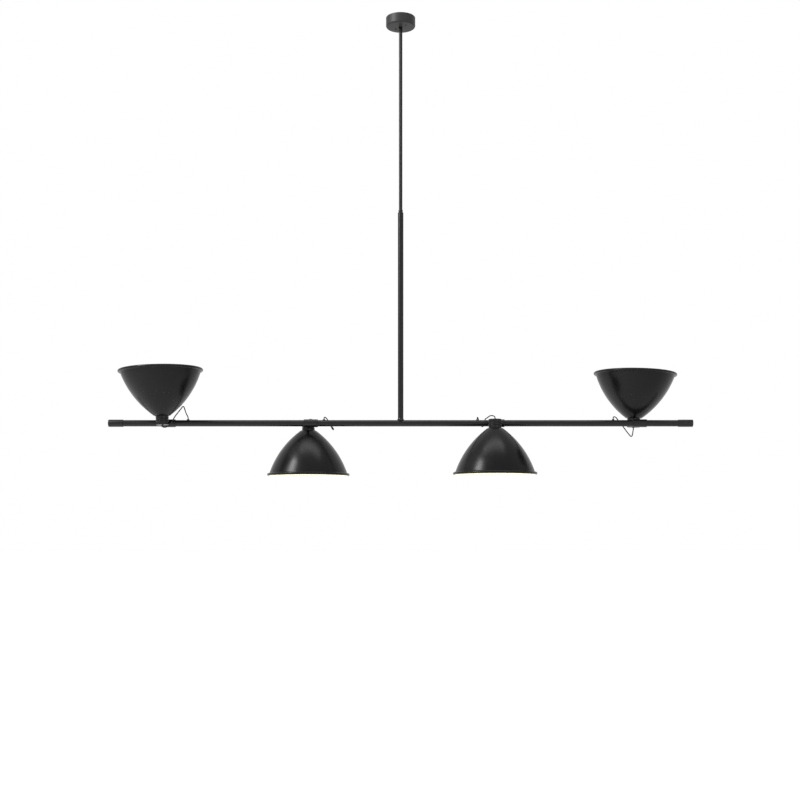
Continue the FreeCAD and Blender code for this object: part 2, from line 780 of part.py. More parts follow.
def shade_ring(lamp):
    """The threaded ring on the holder that clamps the shade against the cup."""
    inside, low = HOLDER_RADIUS + d.turn_gap, d.neck_reach + d.shade_wall
    outside, high = inside + d.ring_wall, low + d.ring_height
    body = turned("shade_ring_" + lamp.name, [
        (inside, low), (outside, low), (outside, high - d.ring_bevel),
        (outside - d.ring_bevel, high), (inside, high)])
    put(body, lamp.head_place(), lamp.head_turn())
    return body


def arc_centre(start, end, radius):
    """The centre on the left of the way from start to end."""
    middle, run = (start + end) * 0.5, end - start
    rise = math.sqrt(radius * radius - run.Length * run.Length / 4)
    return middle + Vector(-run.y, run.x, 0).normalize() * rise


def arc_between(centre, radius, start, end):
    """An anticlockwise arc from start to end."""
    a, b = (math.atan2(p.y - centre.y, p.x - centre.x) for p in (start, end))
    return Part.ArcOfCircle(Part.Circle(centre, Z_AXIS, radius), a, b)


def shade(lamp):
    """Spun sheet: a flat crown, one long curve to the mouth, and a rolled bead."""
    hole, seat, wall = HOLDER_RADIUS + d.turn_gap, d.neck_reach, d.shade_wall
    crown, rim = d.neck_radius + d.crown_step, seat + d.shade_length
    mouth = rim - d.bead_drop
    crown_corner = Vector(crown.number, seat.number, 0)
    mouth_corner = Vector(d.shade_mouth.number, mouth.number, 0)
    radius = d.shade_curve.number
    centre = arc_centre(crown_corner, mouth_corner, radius)

    def inner(height):
        small = radius - wall.number
        across = math.sqrt(small * small - (height - centre.y) ** 2)
        return Vector(centre.x + across, height, 0)

    inner_mouth, inner_crown = inner(mouth.number), inner((seat + wall).number)
    low_hole = Vector(hole.number, seat.number, 0)
    high_hole = Vector(hole.number, (seat + wall).number, 0)
    body = new_body("shade_" + lamp.name)
    sketch = new_sketch(body, "shade_outline_" + lamp.name, "XZ_Plane")
    sketch.addGeometry([
        Part.LineSegment(low_hole, crown_corner),
        arc_between(centre, radius, crown_corner, mouth_corner),
        Part.LineSegment(mouth_corner, inner_mouth),
        arc_between(centre, radius - wall.number, inner_crown, inner_mouth),
        Part.LineSegment(inner_crown, high_hole),
        Part.LineSegment(high_hole, low_hole)], False)
    for a, a_end, b, b_end in ((0, 2, 1, 1), (1, 2, 2, 1), (2, 2, 3, 2), (3, 1, 4, 1),
                               (4, 2, 5, 1), (5, 2, 0, 1), (1, 3, 3, 3)):
        sketch.addConstraint(Sketcher.Constraint("Coincident", a, a_end, b, b_end))
    pin_point(sketch, 0, 1, hole, seat)
    pin_point(sketch, 1, 1, crown, seat)
    pin_point(sketch, 1, 2, d.shade_mouth, mouth)
    pin_point(sketch, 5, 1, hole, seat + wall)
    hold(sketch, "Radius", 1, value=d.shade_curve)
    hold(sketch, "Radius", 3, value=d.shade_curve - wall)
    hold(sketch, "DistanceY", -1, 1, 3, 2, value=mouth)
    hold(sketch, "DistanceY", -1, 1, 3, 1, value=seat + wall)
    revolve(body, sketch)
    bead = new_sketch(body, "shade_bead_" + lamp.name, "XZ_Plane")
    circle(bead, d.bead_radius, d.bead_centre, rim)
    revolve(body, bead)
    put(body, lamp.head_place(), lamp.head_turn())
    return body


def bulb(lamp):
    """A screw-cap bulb: the cap, a straight flare and a round end."""
    low, top = d.holder_floor + d.cap_seat, d.bulb_centre + d.bulb_radius
    cap_end, neck = d.holder_mouth + d.cap_show, d.bulb_cap + d.bulb_flare
    flare = Vector(neck.number, (cap_end + d.bulb_lip).number, 0)
    centre = Vector(0, d.bulb_centre.number, 0)
    reach = flare - centre
    turn = math.atan2(reach.y, reach.x) + math.acos(d.bulb_radius.number / reach.Length)
    touch = centre + Vector(math.cos(turn), math.sin(turn), 0) * d.bulb_radius.number
    corners = [(as_size(0), low), (d.cap_contact, low), (d.bulb_cap - d.cap_bevel, low + d.cap_bevel),
               (d.bulb_cap, low + d.cap_cone), (d.bulb_cap, cap_end), (neck, cap_end + d.bulb_lip)]
    points = [Vector(x.number, y.number, 0) for x, y in corners]
    crown = Vector(0, top.number, 0)
    body = new_body("bulb_" + lamp.name)
    sketch = new_sketch(body, "bulb_outline_" + lamp.name, "XZ_Plane")
    lines = [Part.LineSegment(a, b) for a, b in zip(points, points[1:] + [touch])]
    ball = Part.ArcOfCircle(Part.Circle(centre, Z_AXIS, d.bulb_radius.number), turn, math.pi / 2)
    sketch.addGeometry(lines + [ball, Part.LineSegment(crown, points[0])], False)
    count = len(lines)
    for i in range(count - 1):
        sketch.addConstraint(Sketcher.Constraint("Coincident", i, 2, i + 1, 1))
    sketch.addConstraint(Sketcher.Constraint("Tangent", count - 1, 2, count, 1))
    sketch.addConstraint(Sketcher.Constraint("Coincident", count, 2, count + 1, 1))
    sketch.addConstraint(Sketcher.Constraint("Coincident", count + 1, 2, 0, 1))
    for i, (x, y) in enumerate(corners):
        pin_point(sketch, i, 1, x, y)
    pin_point(sketch, count, 3, 0, d.bulb_centre)
    hold(sketch, "Radius", count, value=d.bulb_radius)
    hold(sketch, "DistanceX", -1, 1, count + 1, 1, value=0)
    revolve(body, sketch)
    put(body, lamp.head_place(), lamp.head_turn())
    return body


# ---------------------------------------------------------------- leads
# Each lead's points, from the gland's tip to the grommet's, measured from where the head's
# centre line crosses the height of the bar's, with Y from the bar's own centre line.
LEAD_ROUTES = {
    "outer_left": [
        (0.4, -50, -12.2), (0.5, -50, -14.4), (2.4, -50.3, -17), (6.8, -51, -18.2),
        (12.8, -51.6, -17.4), (20, -51.5, -14.6), (27.5, -50, -8.5), (33, -46.5, 4),
        (41, -40, 20), (51, -30, 36),
        (59.5, -21.5, 49), (63, -17, 56), (67, -13.5, 55.5), (69.5, -11, 46), (73, -6.5, 33),
        (77.5, -2, 24), (79, -0.1, 18.5), (79, 0, 14.2)],
    "inner_left": [
        (0, 50, 12.2), (0.1, 50, 14.4), (2, 49.5, 16.8), (6.2, 48.5, 17.8), (12, 46.5, 16.8),
        (21, 43.5, 14), (37, 39, 8.5), (57, 34.5, 4), (75, 30, -2), (84, 27.5, -11),
        (89.5, 25, -19), (86.5, 20, -21), (81, 18.5, -11), (75.5, 18, 0), (70, 16.5, 10.5),
        (65, 11.5, 18), (60.5, 5, 21.5), (57.3, 0.8, 19.6), (57, 0, 14.2)],
    "inner_right": [
        (0, -50, 12.2), (-0.1, -50, 15), (-1.6, -49.3, 18.6), (-6, -46.5, 21.8), (-14, -39, 23),
        (-20, -27, 20.5), (-25, -12, 16.5), (-28.5, 4, 16.5), (-31.3, 16.5, 9), (-32.2, 20, -2),
        (-36.3, 20.5, -10.8), (-43, 19.5, -8.5), (-48, 18.5, 1), (-51.5, 15, 11), (-54, 9, 18.5),
        (-56.3, 3.4, 21), (-57, 0.4, 19), (-57, 0, 14.2)],
    "outer_right": [
        (-0.4, 50, -12.2), (-0.5, 50, -15.5), (-1.2, 50, -21), (-2.5, 49, -29),
        (-4.5, 47.5, -38.5), (-8.5, 45, -43), (-14.5, 41, -38.5), (-26, 34.5, -26),
        (-38, 27.5, -12), (-50, 21.5, 1.5), (-59, 17, 12), (-66, 10.5, 19.5), (-72.5, 4.5, 22.8),
        (-77.5, 1.2, 22), (-79, 0.1, 18.6), (-79, 0, 14.2)],
}


def tangent_path(points):
    """Straight runs joined by tangent arcs, and the arcs' radii."""
    corners = points[1:-1]
    edges, radii, start = [], [], points[0]
    for before, corner, after in zip(points, corners, points[2:]):
        back, on = (before - corner), (after - corner)
        half_turn = (math.pi - back.getAngle(on)) / 2
        reach = 0.45 * min(back.Length, on.Length)
        radii.append(reach / math.tan(half_turn))
        back.normalize()
        on.normalize()
        first, last = corner + back * reach, corner + on * reach
        bulge = (back + on).normalize()
        depth = radii[-1] / math.cos(half_turn) - radii[-1]
        edges.append(Part.LineSegment(start, first).toShape())
        edges.append(Part.Arc(first, corner + bulge * depth, last).toShape())
        start = last
    edges.append(Part.LineSegment(start, points[-1]).toShape())
    return Part.Wire(edges), radii


def lead(lamp):
    """The slack two-core lead from the neck's gland to the bar's grommet."""
    radius = d.lead_diameter.number / 2
    points = [Vector(*p) for p in LEAD_ROUTES[lamp.name]]
    path, radii = tangent_path(points)
    section = Part.Wire(Part.Circle(points[0], points[1] - points[0], radius).toShape())
    tube = path.makePipeShell([section], True, False)
    expected = math.pi * radius * radius * path.Length
    if abs(tube.Volume - expected) > 0.01 * expected:
        raise RuntimeError("the lead's tube doesn't follow its path")
    print("lead_%s: %.1f mm long, radii %s" % (
        lamp.name, path.Length, ", ".join("%.1f" % r for r in radii)))
    obj = doc.addObject("Part::Feature", "lead_" + lamp.name)
    obj.Label = "lead_" + lamp.name
    obj.Shape = tube
    obj.Placement = Placement(Vector(lamp.x.number, 0, -d.bar_drop.number), Rotation())
    return obj


# ---------------------------------------------------------------- the whole lamp
for make in (ceiling_plate, canopy_cover, canopy_screws, terminal_block, swivel_socket,
             swivel_stem, stem_rod, stem_reducer, stem_tube, stem_saddle, saddle_nipple, bar_tube):
    keep(make())
keep(end_sleeve("right", 0))
keep(end_sleeve("left", 180))
keep(sleeve_screws())
keep(bar_grommets())
for lamp in LAMPS:
    for make in (collar, collar_screw, pivot_bolt, friction_washer, neck_cup, cord_gland,
                 lampholder, shade_ring, shade, bulb, lead):
        keep(make(lamp))

doc.recompute()
for obj in doc.Objects:
    if {"Invalid", "Error"} & set(obj.State):
        raise RuntimeError("%s failed: %s" % (obj.Name, obj.State))
for node in nodes:
    if node.Shape.isNull() or not node.Shape.isValid() or not node.Shape.Solids:
        raise RuntimeError("%s has no sound shape" % node.Label)

os.makedirs("parts", exist_ok=True)
for node in nodes:
    node.Shape.exportStep(os.path.join("parts", node.Label + ".step"))
print("%d nodes" % len(nodes))
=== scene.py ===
# %% [markdown]
# # A pool table lamp
# A long bar hangs on a stem from a round ceiling cover, and four bell shades sit on it. Each
# shade's neck is bolted to a collar that turns round the bar, so a head can stand up or hang
# down on either side. The frame was made in CAD and is loaded first. Nothing in it is moved.
# This lesson dresses it with finer meshes, paint, slack leads and light.

# %% Load the frame
import json
import math

import bmesh
import bpy
from mathutils import Matrix, Vector


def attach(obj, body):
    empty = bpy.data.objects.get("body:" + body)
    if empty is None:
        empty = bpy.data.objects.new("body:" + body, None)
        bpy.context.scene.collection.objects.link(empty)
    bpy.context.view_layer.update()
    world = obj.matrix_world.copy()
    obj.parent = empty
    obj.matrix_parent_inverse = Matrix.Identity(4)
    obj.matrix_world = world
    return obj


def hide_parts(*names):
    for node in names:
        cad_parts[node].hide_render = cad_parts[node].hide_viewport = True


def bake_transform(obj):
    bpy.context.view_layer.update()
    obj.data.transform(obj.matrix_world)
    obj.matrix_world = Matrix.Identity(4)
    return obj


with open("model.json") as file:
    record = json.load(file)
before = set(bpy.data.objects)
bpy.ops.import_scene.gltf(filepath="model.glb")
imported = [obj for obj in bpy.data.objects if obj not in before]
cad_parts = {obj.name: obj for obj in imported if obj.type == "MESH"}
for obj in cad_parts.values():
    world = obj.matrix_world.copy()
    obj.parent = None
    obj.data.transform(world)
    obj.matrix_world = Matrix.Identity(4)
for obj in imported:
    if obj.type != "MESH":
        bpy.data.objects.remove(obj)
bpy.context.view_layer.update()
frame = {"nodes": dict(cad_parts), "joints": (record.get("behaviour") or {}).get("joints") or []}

MM = 0.001
JOINTS = {joint["name"]: joint for joint in frame["joints"]}

# %% [markdown]
# ## Where the lamps are
# Each lamp's pivot is read from its tilting joint. A head is drawn once in its own frame, with
# the pivot at the origin and the shade opening towards +Z. A matrix then sets it in front of
# the bar or behind it, and the right way up.

# %% Lamp places
LAMPS = {
    # name: (side: -1 in front, up: +1 or down: -1, lean in degrees)
    "outer_left": (-1, 1, -2),
    "inner_left": (1, -1, 0),
    "inner_right": (-1, -1, 0),
    "outer_right": (1, 1, 2),
}
FLIPS = {
    (-1, 1): Matrix.Identity(4),
    (-1, -1): Matrix.Rotation(math.pi, 4, "Y"),
    (1, 1): Matrix.Rotation(math.pi, 4, "Z"),
    (1, -1): Matrix.Rotation(math.pi, 4, "X"),
}
BAR_Z = JOINTS["collar_turn_outer_left"]["pos_m"][2]
BAR_PLACE = Matrix.Translation((0, 0, BAR_Z)) @ Matrix.Rotation(math.pi / 2, 4, "Y")


def lamp_x(name):
    return JOINTS["collar_turn_" + name]["pos_m"][0]


def head_place(name):
    """From a head's own frame to the lamp's."""
    side, up, lean = LAMPS[name]
    pivot = Matrix.Translation(JOINTS["head_tilt_" + name]["pos_m"])
    return pivot @ Matrix.Rotation(math.radians(lean), 4, "Y") @ FLIPS[side, up]


def pad_place(name):
    """+Z runs from the bar's centre line out to the head."""
    side = LAMPS[name][0]
    collar = Matrix.Translation((lamp_x(name), 0, BAR_Z))
    return collar @ Matrix.Rotation(-side * math.pi / 2, 4, "X")


for name in LAMPS:
    print(name, "pivot at", [round(v, 4) for v in head_place(name).translation])

# %% [markdown]
# ## The camera
# A long lamp is usually shown square on, from far enough away for the bar to look straight.
# The camera stands level, a little below the bar, so that the hanging shades show a sliver of
# their light lining. The lens is shifted up instead of tilted, because a tilt would make the
# stem lean.

# %% Camera
EYE_PLACE = (-0.0022, -4.2725, -1.748)
LENS_MM, LENS_SHIFT = 56.15, 0.1605
eye = bpy.data.objects.new("eye", bpy.data.cameras.new("eye"))
bpy.context.scene.collection.objects.link(eye)
eye.location = EYE_PLACE
eye.rotation_euler = (math.pi / 2, 0, 0)
eye.data.sensor_width = 36
eye.data.lens = LENS_MM
eye.data.shift_y = LENS_SHIFT
bpy.context.scene.camera = eye
print("camera", tuple(round(v, 3) for v in eye.location))

# %% [markdown]
# ## The leads' routes
# Each head has a short slack lead. It leaves the gland in the neck's closed end and goes into
# a grommet on top of the bar. The points below are measured in millimetres from where the
# head's centre line crosses the bar's height. A NURBS spline takes them as control points, so
# the lead is one smooth line, and the spline itself is never seen.

# %% Lead routes
LEAD_ROUTES = {
    "outer_left": [
        (0.4, -50, -12.2), (0.5, -50, -14.4), (2.4, -50.3, -17), (6.8, -51, -18.2),
        (12.8, -51.6, -17.4), (20, -51.5, -14.6), (27.5, -50, -8.5), (33, -46.5, 4),
        (41, -40, 20), (51, -30, 36),
        (59.5, -21.5, 49), (63, -17, 56), (67, -13.5, 55.5), (69.5, -11, 46), (73, -6.5, 33),
        (77.5, -2, 24), (79, -0.1, 18.5), (79, 0, 14.2)],
    "inner_left": [
        (0, 50, 12.2), (0.1, 50, 14.4), (2, 49.5, 16.8), (6.2, 48.5, 17.8), (12, 46.5, 16.8),
        (21, 43.5, 14), (37, 39, 8.5), (57, 34.5, 4), (75, 30, -2), (84, 27.5, -11),
        (89.5, 25, -19), (86.5, 20, -21), (81, 18.5, -11), (75.5, 18, 0), (70, 16.5, 10.5),
        (65, 11.5, 18), (60.5, 5, 21.5), (57.3, 0.8, 19.6), (57, 0, 14.2)],
    "inner_right": [
        (0, -50, 12.2), (-0.1, -50, 15), (-1.6, -49.3, 18.6), (-6, -46.5, 21.8), (-14, -39, 23),
        (-20, -27, 20.5), (-25, -12, 16.5), (-28.5, 4, 16.5), (-31.3, 16.5, 9), (-32.2, 20, -2),
        (-36.3, 20.5, -10.8), (-43, 19.5, -8.5), (-48, 18.5, 1), (-51.5, 15, 11), (-54, 9, 18.5),
        (-56.3, 3.4, 21), (-57, 0.4, 19), (-57, 0, 14.2)],
    "outer_right": [
        (-0.4, 50, -12.2), (-0.5, 50, -15.5), (-1.2, 50, -21), (-2.5, 49, -29),
        (-4.5, 47.5, -38.5), (-8.5, 45, -43), (-14.5, 41, -38.5), (-26, 34.5, -26),
        (-38, 27.5, -12), (-50, 21.5, 1.5), (-59, 17, 12), (-66, 10.5, 19.5), (-72.5, 4.5, 22.8),
        (-77.5, 1.2, 22), (-79, 0.1, 18.6), (-79, 0, 14.2)],
}


def smooth_line(name):
    """The lead's centre line, from the gland to the grommet, read off its spline."""
    x = lamp_x(name)
    curve = bpy.data.curves.new("route_" + name, "CURVE")
    curve.dimensions = "3D"
    curve.resolution_u = 10
    spline = curve.splines.new("NURBS")
    points = LEAD_ROUTES[name]
    spline.points.add(len(points) - 1)
    for knot, (dx, y, dz) in zip(spline.points, points):
        knot.co = (x + dx * MM, y * MM, BAR_Z + dz * MM, 1)
    spline.order_u = 3
    spline.use_endpoint_u = True
    holder = bpy.data.objects.new("route_" + name, curve)
    line = bpy.data.meshes.new_from_object(holder)
    walk = [v.co.copy() for v in line.vertices]
    bpy.data.meshes.remove(line)
    bpy.data.objects.remove(holder)
    return walk


def length_of(line):
    return sum((b - a).length for a, b in zip(line, line[1:]))


LEAD_LINES = {name: smooth_line(name) for name in LAMPS}
for name, line in LEAD_LINES.items():
    print("lead", name, "is", round(length_of(line) / MM, 1), "mm in", len(line), "points")

# %% [markdown]
# ## Floor and light
# A black lamp on white is lit by the white around it. What makes its edges and curves readable
# is what its paint mirrors, so the room is white all round. A tall soft panel, high on the left,
# draws the upright streak on each hanging shade. A wide one overhead gives the bar its lighter
# upper half, and a slim weak one on the right lifts that side.

# %% Stage
scene = bpy.context.scene
scene.view_settings.view_transform = "Standard"
room = bpy.data.worlds.new("room")
scene.world = room
room.use_nodes = True
room.node_tree.nodes["Background"].inputs["Color"].default_value = (1, 1, 1, 1)
room.node_tree.nodes["Background"].inputs["Strength"].default_value = 1.0


def flat_square(name, half, height):
    mesh = bpy.data.meshes.new(name)
    mesh.from_pydata([(-half, -half, height), (half, -half, height), (half, half, height),
                      (-half, half, height)], [], [(0, 1, 2, 3)])
    made = bpy.data.objects.new(name, mesh)
    scene.collection.objects.link(made)
    return made


FLOOR_HALF, FLOOR_Z = 60, -2.9
floor = flat_square("floor", FLOOR_HALF, FLOOR_Z)


def soft_panel(name, place, target, width, height, watts):
    """A rectangular area light at place, turned to face the target."""
    panel = bpy.data.lights.new(name, "AREA")
    panel.shape = "RECTANGLE"
    panel.size, panel.size_y = width, height
    panel.energy = watts
    made = bpy.data.objects.new(name, panel)
    made.location = place
    made.rotation_euler = (Vector(target) - Vector(place)).to_track_quat("-Z", "Y").to_euler()
    scene.collection.objects.link(made)


AIM = (0, 0, -1.4)
soft_panel("tall_left", (-4.0, -2.5, 1.9), AIM, 1.4, 2.6, 400)
soft_panel("overhead", (0, -0.7, 1.7), AIM, 3.2, 0.9, 50)
soft_panel("slim_right", (2.3, -3.4, -1.1), AIM, 0.4, 2.4, 12)
print("floor at", FLOOR_Z, "m")

# %% [markdown]
# ## Writing nodes as sums
# A node tree is arithmetic drawn as boxes. This small class wraps a socket, so that ordinary
# Python sums and products add the Math nodes. One function makes every other node.

# %% Node helpers
def node(tree, kind, settings=None, inputs=None):
    """Adds a node. Settings are set first, then each input gets a value or a link."""
    made = tree.nodes.new(kind)
    for key, value in (settings or {}).items():
        setattr(made, key, value)
    for key, value in (inputs or {}).items():
        value = value.socket if isinstance(value, Wire) else value
        if isinstance(value, bpy.types.NodeSocket):
            tree.links.new(value, made.inputs[key])
        else:
            made.inputs[key].default_value = value
    return made


class Wire:
    """A number that varies. Arithmetic on it adds Math nodes to its tree."""

    def __init__(self, tree, socket):
        self.tree = tree
        self.socket = socket

    def math(self, operation, first, second=0.0):
        made = node(self.tree, "ShaderNodeMath", {"operation": operation}, {0: first, 1: second})
        return Wire(self.tree, made.outputs[0])

    def __add__(self, other):
        return self.math("ADD", self, other)

    def __radd__(self, other):
        return self.math("ADD", other, self)

    def __sub__(self, other):
        return self.math("SUBTRACT", self, other)

    def __mul__(self, other):
        return self.math("MULTIPLY", self, other)

    def __truediv__(self, other):
        return self.math("DIVIDE", self, other)

    def __mod__(self, other):
        return self.math("MODULO", self, other)

    def floor(self):
        return self.math("FLOOR", self)

    def sin(self):
        return self.math("SINE", self)

    def cos(self):
        return self.math("COSINE", self)


print("node helpers ready")

# %% [markdown]
# ## Finishes
# Every finish starts the same way: a Principled shader whose even values are typed straight on
# its sockets, and a place on the surface to hang patterns on. Turned pieces carry an attribute
# named "local", their place in their own frame, so one paint serves all four heads without the
# pattern changing when a head is turned over. CAD pieces use their object's own coordinates.

# %% Finish helpers
def open_finish(name, even, where="local"):
    """A material, its tree, its shader, and the coordinates that its patterns use."""
    finish = bpy.data.materials.new(name)
    finish.use_nodes = True
    tree = finish.node_tree
    shader = tree.nodes["Principled BSDF"]
    for socket, value in even.items():
        shader.inputs[socket].default_value = value
    if where == "object":
        place = tree.nodes.new("ShaderNodeTexCoord").outputs["Object"]
    else:
        place = node(tree, "ShaderNodeAttribute", {"attribute_name": where}).outputs["Vector"]
    return finish, tree, shader, place


def grain(tree, place, scale, detail=2.0, stretch=None):
    """Noise from 0 to 1 with about scale lumps to the metre."""
    if stretch:
        place = node(tree, "ShaderNodeMapping", {}, {"Vector": place, "Scale": stretch}).outputs[0]
    made = node(tree, "ShaderNodeTexNoise", {}, {"Vector": place, "Scale": scale, "Detail": detail})
    return Wire(tree, made.outputs[0])


def blend_colours(tree, share, first, second):
    made = node(tree, "ShaderNodeMix", {"data_type": "RGBA"},
                {0: share, 6: (*first, 1), 7: (*second, 1)})
    return made.outputs[2]


def dress(tree, shader, colour, roughness, height=None, depth=0.0002, strength=0.3):
    """Links what varies: colour, roughness, and a bump from a height where one is given."""
    tree.links.new(colour, shader.inputs["Base Color"])
    tree.links.new(roughness.socket, shader.inputs["Roughness"])
    if height is not None:
        bump = node(tree, "ShaderNodeBump", {},
                    {"Height": height, "Distance": depth, "Strength": strength})
        tree.links.new(bump.outputs[0], shader.inputs["Normal"])


print("finish helpers ready")

# %% [markdown]
# ### Satin black paint
# The shades, the bar and the fittings are sprayed satin black. Real paint isn't one black: it
# lies a little thicker in places, has a faint orange peel, and its gloss drifts. Broad noise
# moves the colour and the gloss, and fine noise lifts the surface by a few hundredths of a
# millimetre. The mirror strength is low, as on satin paint, so the white room doesn't grey it.

# %% Paints
def satin_paint(name, dark, light, gloss_rough, mirror, where="local"):
    finish, tree, shader, place = open_finish(
        name, {"Specular IOR Level": mirror, "Metallic": 0.0}, where)
    cloud = grain(tree, place, 16, 3)
    peel = grain(tree, place, 520, 1)
    dust = grain(tree, place, 95, 4)
    colour = blend_colours(tree, cloud, dark, light)
    roughness = gloss_rough + (cloud - 0.5) * 0.12 + (dust - 0.5) * 0.08
    dress(tree, shader, colour, roughness, peel + dust * 0.4, 0.00012, 0.25)
    return finish


SHADE_BLACK = satin_paint(
    "shade_black", (0.002, 0.002, 0.0022), (0.004, 0.004, 0.0041), 0.27, 0.135)
TUBE_PAINT = ((0.004, 0.004, 0.0043), (0.007, 0.007, 0.0069), 0.3, 0.2)
TUBE_BLACK = satin_paint("tube_black", *TUBE_PAINT)
SADDLE_BLACK = satin_paint("saddle_black", *TUBE_PAINT, "object")
FITTING_BLACK = satin_paint(
    "fitting_black", (0.0035, 0.0035, 0.0038), (0.0065, 0.0065, 0.0064), 0.24, 0.2)
COVER_BLACK = satin_paint("cover_black", (0.008, 0.008, 0.0083), (0.013, 0.013, 0.0127), 0.5, 0.25)
print("paints:", [m.name for m in (SHADE_BLACK, TUBE_BLACK, FITTING_BLACK, COVER_BLACK)])

# %% [markdown]
# ### The cream lining, the plastics and the metals
# Inside, a shade is enamelled warm white to throw the light down. The holder, its ring, the
# glands and the grommets are moulded in black plastic with a fine spark-eroded grain. Screws
# are blackened steel, and what is inside the cover is zinc plated, streaked by its rolling.
# The floor glows very faintly, so that its far part stays as pale as the room behind it.

# %% Other finishes
def moulded(name, colour, roughness, where="local", mirror=0.4):
    finish, tree, shader, place = open_finish(name, {"Specular IOR Level": mirror}, where)
    spark = grain(tree, place, 1500, 2)
    cloud = grain(tree, place, 30, 2)
    lighter = tuple(min(1, v * 1.25 + 0.002) for v in colour)
    dress(tree, shader, blend_colours(tree, cloud, colour, lighter),
          roughness + (spark - 0.5) * 0.1, spark, 0.00006, 0.35)
    return finish


def drawn_metal(name, dark, light, roughness, where="object"):
    finish, tree, shader, place = open_finish(name, {"Metallic": 1.0}, where)
    streak = grain(tree, place, 60, 3, (1, 1, 14))
    stain = grain(tree, place, 40, 3)
    dress(tree, shader, blend_colours(tree, stain, dark, light),
          roughness + (streak - 0.5) * 0.16, streak, 0.00004, 0.3)
    return finish


def lining_enamel():
    finish, tree, shader, place = open_finish(
        "cream_lining", {"Specular IOR Level": 0.35})
    cloud = grain(tree, place, 14, 3)
    peel = grain(tree, place, 480, 1)
    dress(tree, shader, blend_colours(tree, cloud, (0.9, 0.88, 0.66), (0.94, 0.925, 0.74)),
          0.4 + (cloud - 0.5) * 0.1, peel, 0.0001, 0.2)
    return finish


def opal_globe():
    """An opal plastic globe that is switched on."""
    finish, tree, shader, place = open_finish(
        "opal_globe", {"Specular IOR Level": 0.5, "Emission Strength": 1.8,
                       "Emission Color": (1.0, 0.93, 0.78, 1)})
    cloud = grain(tree, place, 60, 2)
    dress(tree, shader, blend_colours(tree, cloud, (0.9, 0.87, 0.8), (0.95, 0.93, 0.88)),
          0.32 + (cloud - 0.5) * 0.08, cloud, 0.00005, 0.1)
    return finish


def pressed_fibre():
    finish, tree, shader, place = open_finish(
        "pressed_fibre", {"Specular IOR Level": 0.2}, "object")
    fleck = grain(tree, place, 900, 4)
    dress(tree, shader, blend_colours(tree, fleck, (0.1, 0.045, 0.025), (0.26, 0.14, 0.08)),
          0.85 + (fleck - 0.5) * 0.1, fleck, 0.0001, 0.4)
    return finish


STRANDS, LAY_LENGTH = 6, 0.0042


def cord_sheath():
    """A thin woven sleeve: two sets of threads cross at a slant round the cord."""
    finish, tree, shader, place = open_finish("cord_sheath", {"Specular IOR Level": 0.25}, "weave")
    axes = node(tree, "ShaderNodeSeparateXYZ", {}, {0: place})
    round_cord, along = (Wire(tree, axes.outputs[i]) for i in (0, 1))
    strands = round_cord * (2 * math.pi * STRANDS)
    advance = along * (2 * math.pi / LAY_LENGTH)
    right, left = (strands + advance).sin(), (strands - advance).sin()
    threads = right * left * 0.5 + 0.5
    dress(tree, shader, blend_colours(tree, threads, (0.006, 0.005, 0.0045), (0.022, 0.019, 0.017)),
          0.62 + threads * 0.15, threads, 0.00015, 0.5)
    return finish


def studio_floor():
    finish, tree, shader, place = open_finish(
        "studio_floor", {"Specular IOR Level": 0.1, "Emission Strength": 0.09,
                         "Emission Color": (1, 1, 1, 1)}, "object")
    cloud = grain(tree, place, 0.6, 2)
    dress(tree, shader, blend_colours(tree, cloud, (0.91, 0.91, 0.91), (0.93, 0.93, 0.93)),
          0.9 + (cloud - 0.5) * 0.05)
    return finish


MOULDING = moulded("black_moulding", (0.008, 0.008, 0.008), 0.5)
TERMINAL_WHITE = moulded("terminal_white", (0.62, 0.61, 0.57), 0.5, "object")
ZINC_STEEL = drawn_metal("zinc_steel", (0.5, 0.5, 0.51), (0.66, 0.66, 0.64), 0.34)
BLACK_STEEL = drawn_metal("blackened_steel", (0.035, 0.035, 0.038), (0.06, 0.06, 0.062), 0.42)
SCREW_STEEL = drawn_metal("screw_steel", (0.03, 0.03, 0.032), (0.055, 0.055, 0.057), 0.38, "local")
NICKEL = drawn_metal("nickel_cap", (0.6, 0.58, 0.54), (0.72, 0.7, 0.66), 0.25, "local")
LINING, GLOBE, FIBRE, SHEATH = lining_enamel(), opal_globe(), pressed_fibre(), cord_sheath()
floor.data.materials.append(studio_floor())
print("finishes:", len(bpy.data.materials))

# %% [markdown]
# ## A lathe made of Geometry Nodes
# Nearly every piece of this lamp is turned or spun, so its shape follows one rule: an outline
# swept round an axis. Blender's Screw modifier could do it, but a node tree can also ripple a
# row of the outline, which gives ribs and screw sockets, and can store each point's own place
# for the paint. The outline is a line of points: X is the radius, Z the height, and Y how
# deep the ripple is there. A grid gets one column for each step round the axis.

# %% The lathe tree
def new_tree(name, sockets):
    tree = bpy.data.node_groups.new(name, "GeometryNodeTree")
    for label, kind in sockets:
        tree.interface.new_socket(label, in_out="INPUT", socket_type="NodeSocket" + kind)
    tree.interface.new_socket("Result", in_out="OUTPUT", socket_type="NodeSocketGeometry")
    return tree, tree.nodes.new("NodeGroupInput").outputs


def close_tree(tree, geometry, material):
    """Every tree ends the same way: instances made real, then the material."""
    real = node(tree, "GeometryNodeRealizeInstances", {}, {0: geometry})
    painted = node(tree, "GeometryNodeSetMaterial", {},
                   {"Geometry": real.outputs[0], "Material": material})
    node(tree, "NodeGroupOutput", {}, {0: painted.outputs[0]})


